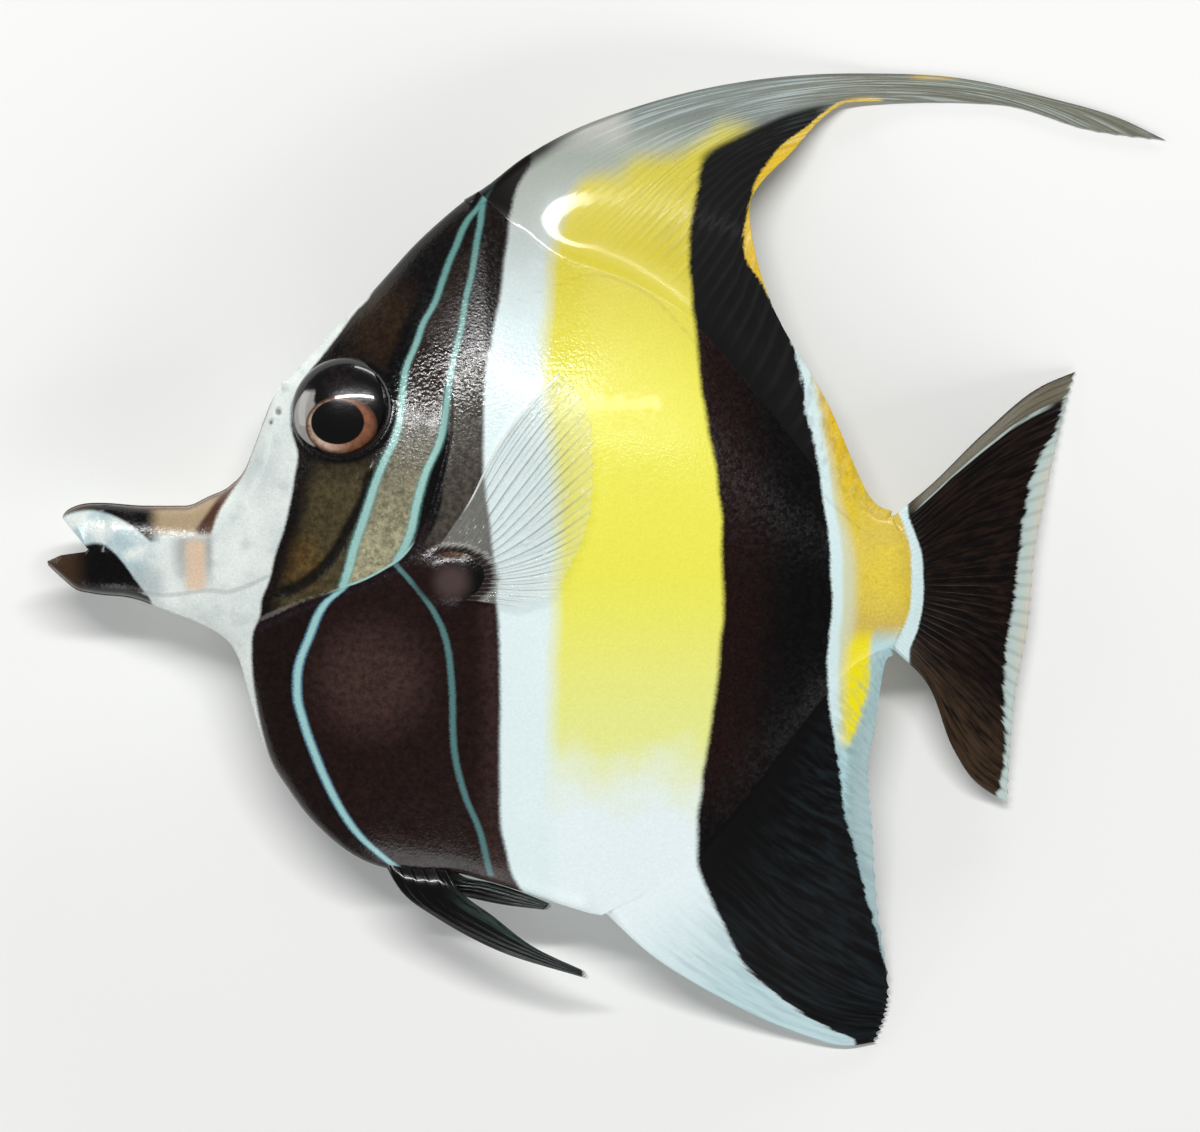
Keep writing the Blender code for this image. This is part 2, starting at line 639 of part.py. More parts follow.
def make_dorsal_fin():
    guides = [[edge_point(dorsal_base, x, 1)] + points for x, points in DORSAL_RAYS]
    point_at = fan_through(guides)
    place = middle_fin_place(point_at, DORSAL_ROOT)
    sail = []
    for ray, shares in columns_of(0, SAIL_LAST_RAY - HALF_RAY_GAP, SAIL_RAYS, FIN_ROWS):
        end = 1.0
        if point_at(ray, 1)[0] > STREAMER_X - GAP / 2:
            end = share_at_x(point_at, ray, STREAMER_X - GAP / 2)
        sail.append((ray, [end * share for share in shares]))
    streamer = []
    for ray, shares in columns_of(0, STREAMER_LAST_RAY, STREAMER_RAYS, FIN_ROWS):
        start = share_at_x(point_at, ray, STREAMER_X + GAP / 2)
        streamer.append((ray, [start + (1 - start) * share for share in shares]))
    last = len(DORSAL_RAYS) - 1
    rear = columns_of(SAIL_LAST_RAY + HALF_RAY_GAP, last, REAR_RAYS, REAR_ROWS)
    return [fin_sheet("dorsal_fin", sail, place),
            fin_sheet("dorsal_streamer", streamer, place),
            fin_sheet("dorsal_fin_rear", rear, place)]


def make_anal_fin():
    guides = [[edge_point(anal_base, x, -1)] + points for x, points in ANAL_RAYS]
    place = middle_fin_place(fan_through(guides), ANAL_ROOT)
    columns = columns_of(0, len(ANAL_RAYS) - 1, ANAL_FIN_RAYS, FIN_ROWS)
    return fin_sheet("anal_fin", columns, place)


def make_tail_fin():
    guides = [[tail_point(side)] + points for side, points in TAIL_RAYS]
    place = middle_fin_place(fan_through(guides), TAIL_ROOT)
    columns = columns_of(0, len(TAIL_RAYS) - 1, TAIL_FIN_RAYS, TAIL_ROWS)
    return fin_sheet("caudal_fin", columns, place)


def make_pectoral_fin(name, side):
    point_at = fan_through(PECTORAL_RAYS)

    def place(ray, share, on_ray):
        x, y = point_at(ray, share)
        reach = hypot((x - LOBE_CENTRE[0]) / LOBE_RADII[0], (y - LOBE_CENTRE[1]) / LOBE_RADII[1])
        lobe = 1 - smooth_step(reach, *LOBE_REACH)
        ridge = on_ray * RAY_RIDGE * (1 - lobe) * smooth_step(share, *RIDGE_SHARES)
        if side == RIGHT:
            half = RIGHT_PECTORAL_HALF + ridge / 2
            return x, y, half, half
        half = FIN_TIP + (LOBE_HALF - FIN_TIP) * lobe + ridge
        lift = PECTORAL_LIFT * smooth_step(share, *PECTORAL_LIFT_SHARES)
        base = MIDDLE_HEIGHT + flank(x, y) + GAP + lift
        return x, y, base + half - ridge, half

    columns = columns_of(0, len(PECTORAL_RAYS) - 1, PECTORAL_FIN_RAYS, FIN_ROWS)
    return fin_sheet(name, columns, place)


def make_pelvic_fin(name, side):
    guides = [[edge_point(throat, x, -1)] + points for x, points in PELVIC_RAYS[side]]
    point_at = fan_through(guides)

    def place(ray, share, on_ray):
        x, y = point_at(ray, share)
        half = FIN_TIP + (PELVIC_ROOT - FIN_TIP) * (1 - share) ** 2
        half += on_ray * RAY_RIDGE * smooth_step(share, *RIDGE_SHARES)
        return x, y, middle_height(x, y) + side * (PELVIC_SPLIT + PELVIC_ROOT), half

    return fin_sheet(name, columns_of(0, len(guides) - 1, PELVIC_FIN_RAYS, PELVIC_ROWS), place)


# Materials and the finished objects

def skin(name, color, roughness):
    material = bpy.data.materials.new(name)
    material.use_nodes = True
    shader = material.node_tree.nodes["Principled BSDF"]
    shader.inputs["Base Color"].default_value = color
    shader.inputs["Roughness"].default_value = roughness
    shader.inputs["Metallic"].default_value = 0.0
    return material


def finish(collection, piece, color, roughness=0.3):
    piece.data.materials.clear()
    piece.data.materials.append(skin(piece.name + "_skin", color, roughness))
    piece.data.shade_smooth()
    piece.data.set_sharp_from_angle(angle=SHARP_ANGLE)
    bpy.context.scene.collection.objects.unlink(piece)
    collection.objects.link(piece)


def make_fish():
    for piece in list(bpy.data.objects):
        bpy.data.objects.remove(piece)
    fish = bpy.data.collections.new("moorish_idol")
    bpy.context.scene.collection.children.link(fish)

    body = make_body()
    add_horns(body)
    for side in (LEFT, RIGHT):
        add_eye_rim(body, side)
        cut_eye_socket(body, side)
        cut_nostrils(body, side)
    covers = [cut_gill_cover("gill_cover_left", body, LEFT),
              cut_gill_cover("gill_cover_right", body, RIGHT)]
    pieces = part_body(body)

    for name, color in (("head", SKIN_WHITE), ("upper_lip", SKIN_WHITE), ("lower_jaw", SKIN_BLACK),
                        ("torso", SKIN_YELLOW), ("tail_stalk", SKIN_YELLOW)):
        finish(fish, pieces[name], color)
    for cover in covers:
        finish(fish, cover, SKIN_BLACK)
    finish(fish, make_eye("eye_left", LEFT), SKIN_BLACK, 0.05)
    finish(fish, make_eye("eye_right", RIGHT), SKIN_BLACK, 0.05)
    for fin in make_dorsal_fin():
        finish(fish, fin, FIN_GREY)
    finish(fish, make_anal_fin(), SKIN_BLACK)
    finish(fish, make_tail_fin(), SKIN_BLACK)
    finish(fish, make_pectoral_fin("pectoral_fin_left", LEFT), FIN_GREY)
    finish(fish, make_pectoral_fin("pectoral_fin_right", RIGHT), FIN_GREY)
    finish(fish, make_pelvic_fin("pelvic_fin_left", LEFT), SKIN_BLACK)
    finish(fish, make_pelvic_fin("pelvic_fin_right", RIGHT), SKIN_BLACK)


make_fish()
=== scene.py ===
from math import pi

import bmesh
import bpy
import numpy as np
from mathutils import Matrix, Vector


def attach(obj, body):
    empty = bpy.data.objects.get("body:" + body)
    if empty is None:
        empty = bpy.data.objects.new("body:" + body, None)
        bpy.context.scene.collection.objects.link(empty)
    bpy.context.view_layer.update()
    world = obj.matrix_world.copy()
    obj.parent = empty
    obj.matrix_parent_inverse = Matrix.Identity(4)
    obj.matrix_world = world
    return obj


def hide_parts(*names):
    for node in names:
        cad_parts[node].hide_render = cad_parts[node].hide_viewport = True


# A moorish idol, life size, on its right side: snout to -X, back to +Y, left flank up.
# Sizes are in millimetres, and every finished mesh is scaled to metres.
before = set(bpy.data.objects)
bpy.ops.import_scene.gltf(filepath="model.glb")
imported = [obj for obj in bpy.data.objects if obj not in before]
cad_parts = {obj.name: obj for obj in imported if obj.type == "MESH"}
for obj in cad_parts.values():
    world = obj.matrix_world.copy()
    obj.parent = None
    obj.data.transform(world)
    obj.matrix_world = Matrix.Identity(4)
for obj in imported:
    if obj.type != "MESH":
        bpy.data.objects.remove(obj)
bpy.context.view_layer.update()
metres = 0.001
print("frame loaded")


# small sums and curves

def smoothStep(value, low, high):
    t = np.clip((value - low) / (high - low), 0.0, 1.0)
    return t * t * (3 - 2 * t)


def smoothCurve(knots, values):  # through every point, with no overshoot between them
    knots = np.asarray(knots, float)
    values = np.asarray(values, float)
    widths = np.diff(knots)
    chords = np.diff(values) / widths
    before, after = chords[:-1], chords[1:]
    mean = (widths[1:] * before + widths[:-1] * after) / (widths[1:] + widths[:-1])
    limit = 3 * np.minimum(abs(before), abs(after))
    inner = np.where(before * after > 0, np.sign(mean) * np.minimum(abs(mean), limit), 0)
    slopes = np.concatenate([chords[:1], inner, chords[-1:]])

    def valueAt(place):
        place = np.clip(np.asarray(place, float), knots[0], knots[-1])
        index = np.clip(np.searchsorted(knots, place) - 1, 0, len(widths) - 1)
        step = widths[index]
        t = (place - knots[index]) / step
        rise = values[index + 1] - values[index]
        start = slopes[index] * step
        end = slopes[index + 1] * step
        return (values[index] + t * start + t * t * (3 * rise - 2 * start - end)
                + t ** 3 * (start + end - 2 * rise))
    return valueAt


def curveThrough(points):
    return smoothCurve(*zip(*points))


def pathThrough(points):
    steps = np.hypot(*np.diff(np.array(points), axis=0).T)
    knots = np.concatenate([[0], np.cumsum(steps)]) / sum(steps)
    alongX = smoothCurve(knots, [p[0] for p in points])
    alongY = smoothCurve(knots, [p[1] for p in points])
    return lambda u: (alongX(u), alongY(u))


def lineDistance(x, y, points, count=60):
    # how far each place is from a smooth line, counted positive on the line's left
    lineX, lineY = pathThrough(points)(np.linspace(0, 1, count))
    nearest = np.full(x.shape, 1e6)
    signed = nearest.copy()
    for k in range(count - 1):
        dx, dy = lineX[k + 1] - lineX[k], lineY[k + 1] - lineY[k]
        fromX, fromY = x - lineX[k], y - lineY[k]
        t = np.clip((fromX * dx + fromY * dy) / (dx * dx + dy * dy), 0, 1)
        away = np.hypot(fromX - t * dx, fromY - t * dy)
        nearer = away < nearest
        nearest = np.where(nearer, away, nearest)
        signed = np.where(nearer, away * np.where(dx * fromY - dy * fromX < 0, -1, 1), signed)
    return signed


# the body's form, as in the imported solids

body = {
    "middle": 8.1, "room": 1.15, "roomX": -20.6, "roomRise": 0.8,
    "forehead": [(-59.4, 0.0), (-57.6, 4.6), (-56.5, 5.4), (-53.8, 5.8), (-48.9, 5.5),
        (-44.8, 5.5), (-42.3, 6.5), (-40.1, 7.6), (-38.5, 9.4), (-37.4, 12.1), (-36.5, 14.6),
        (-35.7, 16.6), (-34.3, 18.6), (-32.1, 20.8), (-29.3, 23.9), (-25.8, 27.3), (-20.1, 33.5),
        (-16.3, 36.9), (-14.0, 38.7)],
    "dorsalBase": [(-14.0, 38.7), (-11.7, 36.5), (-7.5, 32.9), (-2.2, 30.7), (3.1, 28.6),
        (8.3, 25.2), (13.6, 19.4), (18.3, 13.6), (23.1, 7.8), (26.8, 4.9), (30.5, 4.4)],
    "throat": [(-59.4, -0.4), (-57.8, -1.9), (-56.3, -3.1), (-54.7, -3.5), (-50.1, -4.1),
        (-46.8, -5.3), (-43.0, -6.8), (-41.2, -7.8), (-40.0, -8.9), (-39.1, -10.6), (-38.1, -14.1),
        (-36.5, -19.5), (-33.8, -24.3), (-29.3, -29.4), (-26.4, -31.4), (-23.3, -32.5),
        (-20.1, -32.9), (-16.9, -32.9), (-13.3, -33.7), (-9.6, -34.8), (-5.4, -36.2),
        (-1.2, -37.5)],
    "analBase": [(-1.2, -37.5), (4.1, -34.8), (9.4, -30.6), (14.6, -24.8), (19.4, -18.5),
        (23.1, -13.8), (26.4, -10.6), (28.8, -9.6), (30.5, -9.4)],
    "widest": [(-59.4, -0.2), (-55.0, 1.0), (-43.3, 0.9), (-32.7, 4.1), (-22.2, 4.1), (-11.7, 2.0),
        (9.4, -0.1), (30.5, -2.4)],
    "halfWidth": [(-59.4, 0.5), (-57.6, 1.5), (-53.8, 2.5), (-47.5, 3.1), (-43.3, 3.6),
        (-39.1, 4.4), (-32.7, 5.8), (-28.0, 7.2), (-24.3, 8.3), (-20.0, 8.6), (-11.7, 8.4),
        (-6.4, 8.0), (-1.2, 7.3), (4.1, 6.6), (9.4, 5.8), (14.6, 4.9), (19.9, 3.9), (25.2, 2.8),
        (28.3, 2.2), (30.5, 1.9)],
    "finRoot": [(-59.4, 0.2), (-53.8, 0.8), (-43.3, 1.1), (-32.7, 1.3), (9.4, 1.2), (26.8, 0.95),
        (30.5, 0.9)],
    "lensPower": [(-59.4, 0.5), (-45.0, 0.55), (-38.0, 0.8), (-30.0, 1.0), (-11.0, 1.1),
        (20.0, 1.1), (30.5, 0.8)],
    "dorsalX": (-14.0, 27.0, 1.0), "analX": (-1.2, 28.8, 0.8),  # each with its fading out
    "edgeBand": 0.15, "edgeRounding": 10, "endX": 30.3, "endStartX": 26.0, "endBulge": 1.8,
    "sagCentre": (-5.4, 0.0), "sagRadii": (36.0, 40.0), "sagReach": (0.85, 1.65),
    "sagDepth": 7.9, "sagHeadX": (-30.0, -16.0)}

forehead = curveThrough(body["forehead"])
dorsalBase = curveThrough(body["dorsalBase"])
throat = curveThrough(body["throat"])
analBase = curveThrough(body["analBase"])
widestLine = curveThrough(body["widest"])
halfWidth = curveThrough(body["halfWidth"])
finRoot = curveThrough(body["finRoot"])
lensPower = curveThrough(body["lensPower"])


def topEdge(x):
    return np.where(x < body["dorsalX"][0], forehead(x), dorsalBase(x))


def bottomEdge(x):
    return np.where(x < body["analX"][0], throat(x), analBase(x))


def bearsFin(x, firstX, lastX, ending):
    return smoothStep(x, firstX - 1, firstX) * (1 - smoothStep(x, lastX, lastX + ending))


def halfThickness(x, side):  # side runs from -1 at the belly to 1 at the back
    root = finRoot(x)
    top = bearsFin(x, *body["dorsalX"])
    bottom = bearsFin(x, *body["analX"])
    rounding = np.sqrt(np.maximum(1 - abs(side) ** body["edgeRounding"], 0))
    edge = rounding + (1 - rounding) * np.where(side > 0, top, bottom)
    bulge = np.maximum(1 - side * side, 0) ** lensPower(x)
    return (halfWidth(x) - root) * bulge + root * edge + body["edgeBand"]


def flankAt(x, y):
    middle = widestLine(x)
    edge = np.where(y > middle, topEdge(x), bottomEdge(x))
    return halfThickness(x, np.clip((y - middle) / abs(edge - middle), -1, 1))


def flankNormal(x, y, step=0.5):
    slopeX = (flankAt(x + step, y) - flankAt(x - step, y)) / (2 * step)
    slopeY = (flankAt(x, y + step) - flankAt(x, y - step)) / (2 * step)
    return Vector((-slopeX, -slopeY, 1)).normalized()


def middleHeight(x, y):
    reach = np.hypot((x - body["sagCentre"][0]) / body["sagRadii"][0],
                     (y - body["sagCentre"][1]) / body["sagRadii"][1])
    sag = smoothStep(reach, *body["sagReach"]) * smoothStep(x, *body["sagHeadX"])
    return body["middle"] - body["sagDepth"] * sag


def restHeight(x):
    return body["room"] * smoothStep(x, body["roomX"], body["roomX"] + body["roomRise"])


# the relief that the skin adds to the plain form

relief = {
    "gillLine": [(-16.7, 24.1), (-17.1, 16.7), (-17.3, 12.5), (-18.3, 8.3), (-19.4, 4.6),
        (-20.6, 1.7), (-21.9, 0.1), (-23.6, -1.0), (-26.1, -2.3), (-27.8, -2.9), (-30.0, -3.8),
        (-32.4, -4.6), (-34.8, -5.7), (-36.7, -6.6), (-38.5, -8.0)],
    "preopercle": [(-25.2, 8.5), (-25.8, 6.1), (-27.1, 3.7), (-28.4, 1.3), (-30.0, -0.8),
        (-32.4, -2.7), (-34.3, -3.5)],
    "lateralLine": [(-13.5, 24.8), (-11.2, 26.4), (-6.9, 28.3), (-1.7, 29.9), (3.1, 28.3),
        (9.0, 22.6), (16.0, 14.5), (23.0, 6.0), (29.5, 0.5)],
    "jawLine": [(-49.0, -3.6), (-47.1, -3.8), (-44.0, -3.5), (-42.3, -3.3), (-40.6, -3.5),
        (-38.3, -2.9), (-36.1, -1.9)],
    "gillLow": (-9.5, -5.0), "gillHigh": (12.0, 21.0), "gillStep": 0.45,
    "coverRise": (-0.15, 0.25), "coverFall": (0.6, 4.5), "gillGroove": 0.4,
    "gillGrooveAt": (0.1, 0.35),
    # the distance that each runs along, its middle, its width and its height
    "grooves": [("preopercleDistance", 0.0, 0.45, -0.28), ("preopercleDistance", -0.9, 0.5, 0.14),
                ("jawDistance", 0.0, 0.3, -0.16)],
    "lipRoll": 0.22, "lipRollAt": (0.75, 0.3), "lipGroove": 0.2, "lipGrooveAt": (-53.2, 0.35),
    "lipGrooveY": (0.5, 1.5),
    "nostrils": [(-34.9, 15.4, 0.34), (-35.7, 14.3, 0.24)], "nostrilHeight": 0.85,
    "nostrilRim": 0.16, "nostrilRimAt": 1.5, "nostrilRimWidth": 0.5, "nostrilDepth": 0.75,
    "lobeCentre": (-16.6, -1.9), "lobeRadii": (4.7, 3.5), "lobeHeight": 0.85,
    "lobeEdge": (0.35, 1.1), "calmEdge": 0.06,
    "hornRoot": (-33.6, 17.9), "hornTip": (-35.5, 19.0), "hornOffset": 1.5, "hornWidth": 0.85,
    "hornSharpness": 1.4}

eye = {"centre": (-28.0, 15.6), "radius": 5.7, "halfDepth": 2.7, "sink": 1.3, "lean": 0.35,
       "rimRadius": 5.3, "rimWidth": 0.36, "rimHeight": 0.22, "calmReach": (5.3, 6.8),
       "socketDepth": 3.2, "socketEdge": (3.3, 4.98), "segments": 96, "rings": 48}


def eyePlace():
    # the left eye's middle and the way it faces, measured from the fish's middle plane
    x, y = eye["centre"]
    normal = flankNormal(x, y)
    normal = Vector((normal.x * eye["lean"], normal.y * eye["lean"], normal.z)).normalized()
    surface = Vector((x, y, float(flankAt(x, y))))
    return surface, normal


def eyeDistance(x, y, half):  # from the eye's axis
    surface, normal = eyePlace()
    dx, dy, dz = x - surface.x, y - surface.y, half - surface.z
    along = dx * normal.x + dy * normal.y + dz * normal.z
    return np.sqrt(np.maximum(dx * dx + dy * dy + dz * dz - along * along, 0))


def hump(value, middle, width):
    return np.exp(-((value - middle) / width) ** 2)


def skinRelief(x, y, side, lipShare, marks):
    gill = marks["gillDistance"]
    gillShare = smoothStep(y, *relief["gillLow"]) * (1 - smoothStep(y, *relief["gillHigh"]))
    groove = relief["gillGroove"] * hump(gill, *relief["gillGrooveAt"])
    coverShare = smoothStep(-gill, *relief["coverRise"])
    cover = relief["gillStep"] * coverShare * (1 - smoothStep(-gill, *relief["coverFall"]))
    added = gillShare * (cover - groove)
    for name, middle, width, height in relief["grooves"]:
        added += height * hump(marks[name], middle, width)
    added += relief["lipRoll"] * hump(lipShare, *relief["lipRollAt"]) * (lipShare > 0)
    lipGroove = relief["lipGroove"] * hump(x, *relief["lipGrooveAt"])
    added -= lipGroove * smoothStep(y, *relief["lipGrooveY"])
    for px, py, size in relief["nostrils"]:
        away = np.hypot(x - px, (y - py) * relief["nostrilHeight"])
        added += relief["nostrilRim"] * hump(away, relief["nostrilRimAt"] * size,
                                             relief["nostrilRimWidth"] * size)
        added -= relief["nostrilDepth"] * hump(away, 0.0, size)
    reach = marks["eyeDistance"]
    rim = eye["rimHeight"] * hump(reach, eye["rimRadius"], eye["rimWidth"])
    socket = eye["socketDepth"] * (1 - smoothStep(reach, *eye["socketEdge"]))
    lobe = relief["lobeHeight"] * (1 - smoothStep(marks["lobeReach"], *relief["lobeEdge"]))
    added = added * smoothStep(reach, *eye["calmReach"]) + rim - socket + lobe
    return flankAt(x, y) + added * smoothStep(1 - abs(side), 0.0, relief["calmEdge"])


# the skin, one closed surface from the mouth's inside to the tail's root

skin = {"around": 160, "mouthRings": 6, "lipRings": 12, "endRings": 5, "lipX": -54.6,
        "headStep": 0.66, "headEndX": -14.6, "trunkRings": 42, "cornerX": -54.9,
        "upperTipX": -57.7, "lowerTipX": -59.3, "mouthEnd": (-54.0, 1.0), "mouthBow": 0.3,
        "edgeLift": 0.12, "fineX": -15.5, "fineEye": 7.6, "fineNose": (-35.0, 16.0, 3.2),
        "fineLipX": -52.5, "fineBelow": 2,
        "upperGap": [(-57.7, 4.35), (-54.9, 1.0)],
        "lowerGap": [(-59.4, -0.3), (-57.8, 0.4), (-55.2, 0.75), (-54.9, 1.0)]}
headXs = np.arange(skin["lipX"], skin["headEndX"], skin["headStep"])
trunkXs = np.linspace(headXs[-1], body["endX"], skin["trunkRings"] + 1)[1:]
stationXs = np.concatenate([headXs, trunkXs])
rimRing = skin["mouthRings"]
firstRing = rimRing + skin["lipRings"]
lastRing = firstRing + len(stationXs) - 1
ringCount = lastRing + skin["endRings"]


def skinPlaces(ring, around):
    # ring counts from the mouth's end to the tail's, around from the belly up the left flank
    halfWay = skin["around"] / 2
    up = np.where(around <= halfWay, around, skin["around"] - around)
    leftRight = np.where(around <= halfWay, 1.0, -1.0)
    edgeShare = np.clip(np.minimum(up, halfWay - up), 0, 1)
    side = np.sin(pi * (np.clip((up - 1) / (halfWay - 2), 0, 1) - 0.5))
    closing = np.clip((ringCount - ring) / skin["endRings"], 0, 1)
    side = side * closing
    x = np.interp(ring, firstRing + np.arange(len(stationXs)), stationXs)
    middle = widestLine(x)
    y = middle + abs(side) * (np.where(side > 0, topEdge(x), bottomEdge(x)) - middle)

    # the lips open in a wedge that narrows to the corners of the mouth
    lipShare = np.clip((firstRing - ring) / skin["lipRings"], 0, 1)
    upper = side > 0
    tipX = np.where(upper, skin["upperTipX"], skin["lowerTipX"])
    rimX = skin["cornerX"] + (tipX - skin["cornerX"]) * abs(side)
    lipX = skin["lipX"] + (rimX - skin["lipX"]) * lipShare
    gap = np.where(upper, np.interp(lipX, *zip(*skin["upperGap"])),
                   np.interp(lipX, *zip(*skin["lowerGap"])))
    outline = np.where(upper, topEdge(lipX), bottomEdge(lipX))
    rise = abs(side) * (1 - lipShare) / (1 - abs(side) * lipShare + 1e-6)
    onLips = lipShare > 0
    x = np.where(onLips, lipX, x)
    y = np.where(onLips, gap + rise * (outline - gap), y)

    marks = {"gillDistance": lineDistance(x, y, relief["gillLine"]),
             "preopercleDistance": lineDistance(x, y, relief["preopercle"]),
             "jawDistance": lineDistance(x, y, relief["jawLine"]),
             "lateralDistance": abs(lineDistance(x, y, relief["lateralLine"])),
             "eyeDistance": eyeDistance(x, y, flankAt(x, y)),
             "outlineDepth": np.where(side > 0, topEdge(x) - y, y - bottomEdge(x)),
             "lobeReach": np.hypot((x - relief["lobeCentre"][0]) / relief["lobeRadii"][0],
                                   (y - relief["lobeCentre"][1]) / relief["lobeRadii"][1]),
             "mouthInside": np.clip((rimRing - ring) / skin["mouthRings"], 0, 1)}
    half = skinRelief(x, y, side, lipShare, marks) * edgeShare * closing
    bulge = body["endBulge"] * smoothStep(x, body["endStartX"], body["endX"])
    x = x + bulge * (1 - side * side)
    y = y + np.sign(side) * skin["edgeLift"] * (1 - edgeShare ** 2) * closing

    # inside the mouth the rings close on its end
    inside = marks["mouthInside"]
    x = x + (skin["mouthEnd"][0] - x) * inside
    bow = np.sign(side) * skin["mouthBow"] * np.sin(pi * inside)
    y = y + (skin["mouthEnd"][1] - y) * inside + bow
    half = half * (1 - inside ** 2)
    height = middleHeight(x, y)
    z = np.where(leftRight > 0, height + half, np.maximum(height - half, restHeight(x)))
    return np.stack([x, y, z], axis=1), marks


def sphereNumbers(bm):
    # which ring and which place round it each vertex of the starting sphere has
    places = np.array([vert.co for vert in bm.verts])
    flat = np.hypot(places[:, 0], places[:, 1])
    ring = np.arctan2(flat, places[:, 2]) / pi * ringCount
    around = np.mod(np.arctan2(places[:, 1], places[:, 0]) / (2 * pi), 1) * skin["around"]
    return ring, around


def refineWhere(bm, chosen):
    # halves the edges of the faces whose middle the test picks out
    ring, around = sphereNumbers(bm)
    places = skinPlaces(ring, around)[0]
    bm.verts.index_update()
    faces = [f for f in bm.faces if chosen(places[[v.index for v in f.verts]].mean(axis=0))]
    edges = list(dict.fromkeys(edge for face in faces for edge in face.edges))
    bmesh.ops.subdivide_edges(bm, edges=edges, cuts=1, use_grid_fill=True)


def nearHead(place):
    return place[0] < skin["fineX"]


def nearFeatures(place):  # only on the left side, which shows
    x, y, z = place
    noseX, noseY, noseReach = skin["fineNose"]
    onEye = np.hypot(x - eye["centre"][0], y - eye["centre"][1]) < skin["fineEye"]
    onNose = np.hypot(x - noseX, y - noseY) < noseReach
    return z > body["middle"] - skin["fineBelow"] and (onEye or onNose or x < skin["fineLipX"])


def finishPiece(name, bm, material, nodes):
    if bm.calc_volume(signed=True) < 0:
        bmesh.ops.reverse_faces(bm, faces=bm.faces[:])
    mesh = bpy.data.meshes.new(name)
    bm.to_mesh(mesh)
    bm.free()
    mesh.transform(Matrix.Scale(metres, 4))
    mesh.shade_smooth()
    piece = bpy.data.objects.new(name, mesh)
    bpy.context.scene.collection.objects.link(piece)
    mesh.materials.append(material)
    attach(piece, "root")
    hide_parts(*nodes)
    return piece


def pullHorns(places):
    # the two small horns before the eyes
    root, tip = Vector(relief["hornRoot"]), Vector(relief["hornTip"])
    for leftRight in (1, -1):
        middle = np.array([root.x, root.y, body["middle"] + leftRight * relief["hornOffset"]])
        away = np.linalg.norm(places - middle, axis=1)
        share = np.clip(1 - away / relief["hornWidth"], 0, 1) ** relief["hornSharpness"]
        places[:, 0] += (tip.x - root.x) * share
        places[:, 1] += (tip.y - root.y) * share
    return places


def makeSkin(material):
    bm = bmesh.new()
    bmesh.ops.create_uvsphere(bm, u_segments=skin["around"], v_segments=ringCount, radius=1)
    refineWhere(bm, nearHead)
    refineWhere(bm, nearFeatures)
    ring, around = sphereNumbers(bm)
    places, marks = skinPlaces(ring, around)
    for vert, place in zip(bm.verts, pullHorns(places)):
        vert.co = place
    bmesh.ops.recalc_face_normals(bm, faces=bm.faces[:])
    nodes = ("head", "upper_lip", "lower_jaw", "gill_cover_left", "gill_cover_right", "torso",
             "tail_stalk")
    piece = finishPiece("bodySkin", bm, material, nodes)
    for name, values in marks.items():
        layer = piece.data.attributes.new(name, "FLOAT", "POINT")
        layer.data.foreach_set("value", np.asarray(values, np.float32))
    return piece


# the eyes

def makeEye(name, leftRight, material, nodes):
    surface, normal = eyePlace()
    centre = surface - normal * eye["sink"]
    for vector in (centre, normal):
        vector.z *= leftRight
    bm = bmesh.new()
    bmesh.ops.create_uvsphere(bm, u_segments=eye["segments"], v_segments=eye["rings"], radius=1)
    turn = normal.to_track_quat("Z", "Y").to_matrix().to_4x4()
    size = Matrix.Diagonal((eye["radius"], eye["radius"], eye["halfDepth"], 1))
    lift = Vector((0, 0, body["middle"]))
    bm.transform(Matrix.Translation(centre + lift) @ turn @ size)
    return finishPiece(name, bm, material, nodes)


# the fins, each a fan of rays between a few guiding ones

fins = {"endThickness": 0.3, "endRays": 0.75, "overlap": 0.03, "ridgeStart": (0.08, 0.35),
        "pairedRidgeStart": (0, 0.25)}
dorsal = {
    "rays": 46, "perRay": 4, "rows": 70, "fall": 3.4, "tip": 0.1, "ridge": 0.015,
    "notch": 0.004, "sink": 0.9, "guides": [
        (-15.5, [(-13.7, 38.85), (-9.2, 42.3), (-4.3, 45.1), (2.8, 47.8), (10.6, 49.9),
            (19.3, 51.2), (26.2, 51.5), (36.3, 51.1), (46.6, 48.9), (54.1, 46.7), (58.9, 44.4)]),
        (-10.9, [(-4.3, 40.9), (3.1, 44.9), (11.5, 47.8), (19.9, 49.5), (27.3, 50.2), (34.6, 50.0),
            (41.5, 49.1), (46.2, 47.6), (50.6, 45.6)]),
        (-8.3, [(-2.2, 39.1), (5.2, 43.9), (13.1, 47.1), (20.9, 48.6), (28.3, 49.3), (34.6, 49.2),
            (40.9, 48.3)]),
        (-5.4, [(2.0, 37.8), (8.3, 43.1), (14.6, 46.2), (20.9, 47.9), (27.8, 48.6)]),
        (-2.0, [(4.1, 36.5), (9.4, 41.5), (14.6, 44.6), (19.4, 46.5), (23.6, 47.6)]),
        (2.0, [(7.3, 33.6), (10.6, 37.8), (14.6, 41.5), (19.6, 43.5)]),
        (8.3, [(10.9, 29.4), (13.3, 33.1), (14.6, 36.8)]),
        (13.6, [(15.4, 23.1), (16.9, 26.9)]),
        (19.9, [(21.6, 14.1), (22.7, 16.6)]),
        (26.6, [(27.0, 6.0), (27.3, 6.5)]),
        (29.4, [(29.5, 4.8), (29.6, 5.0)])]}
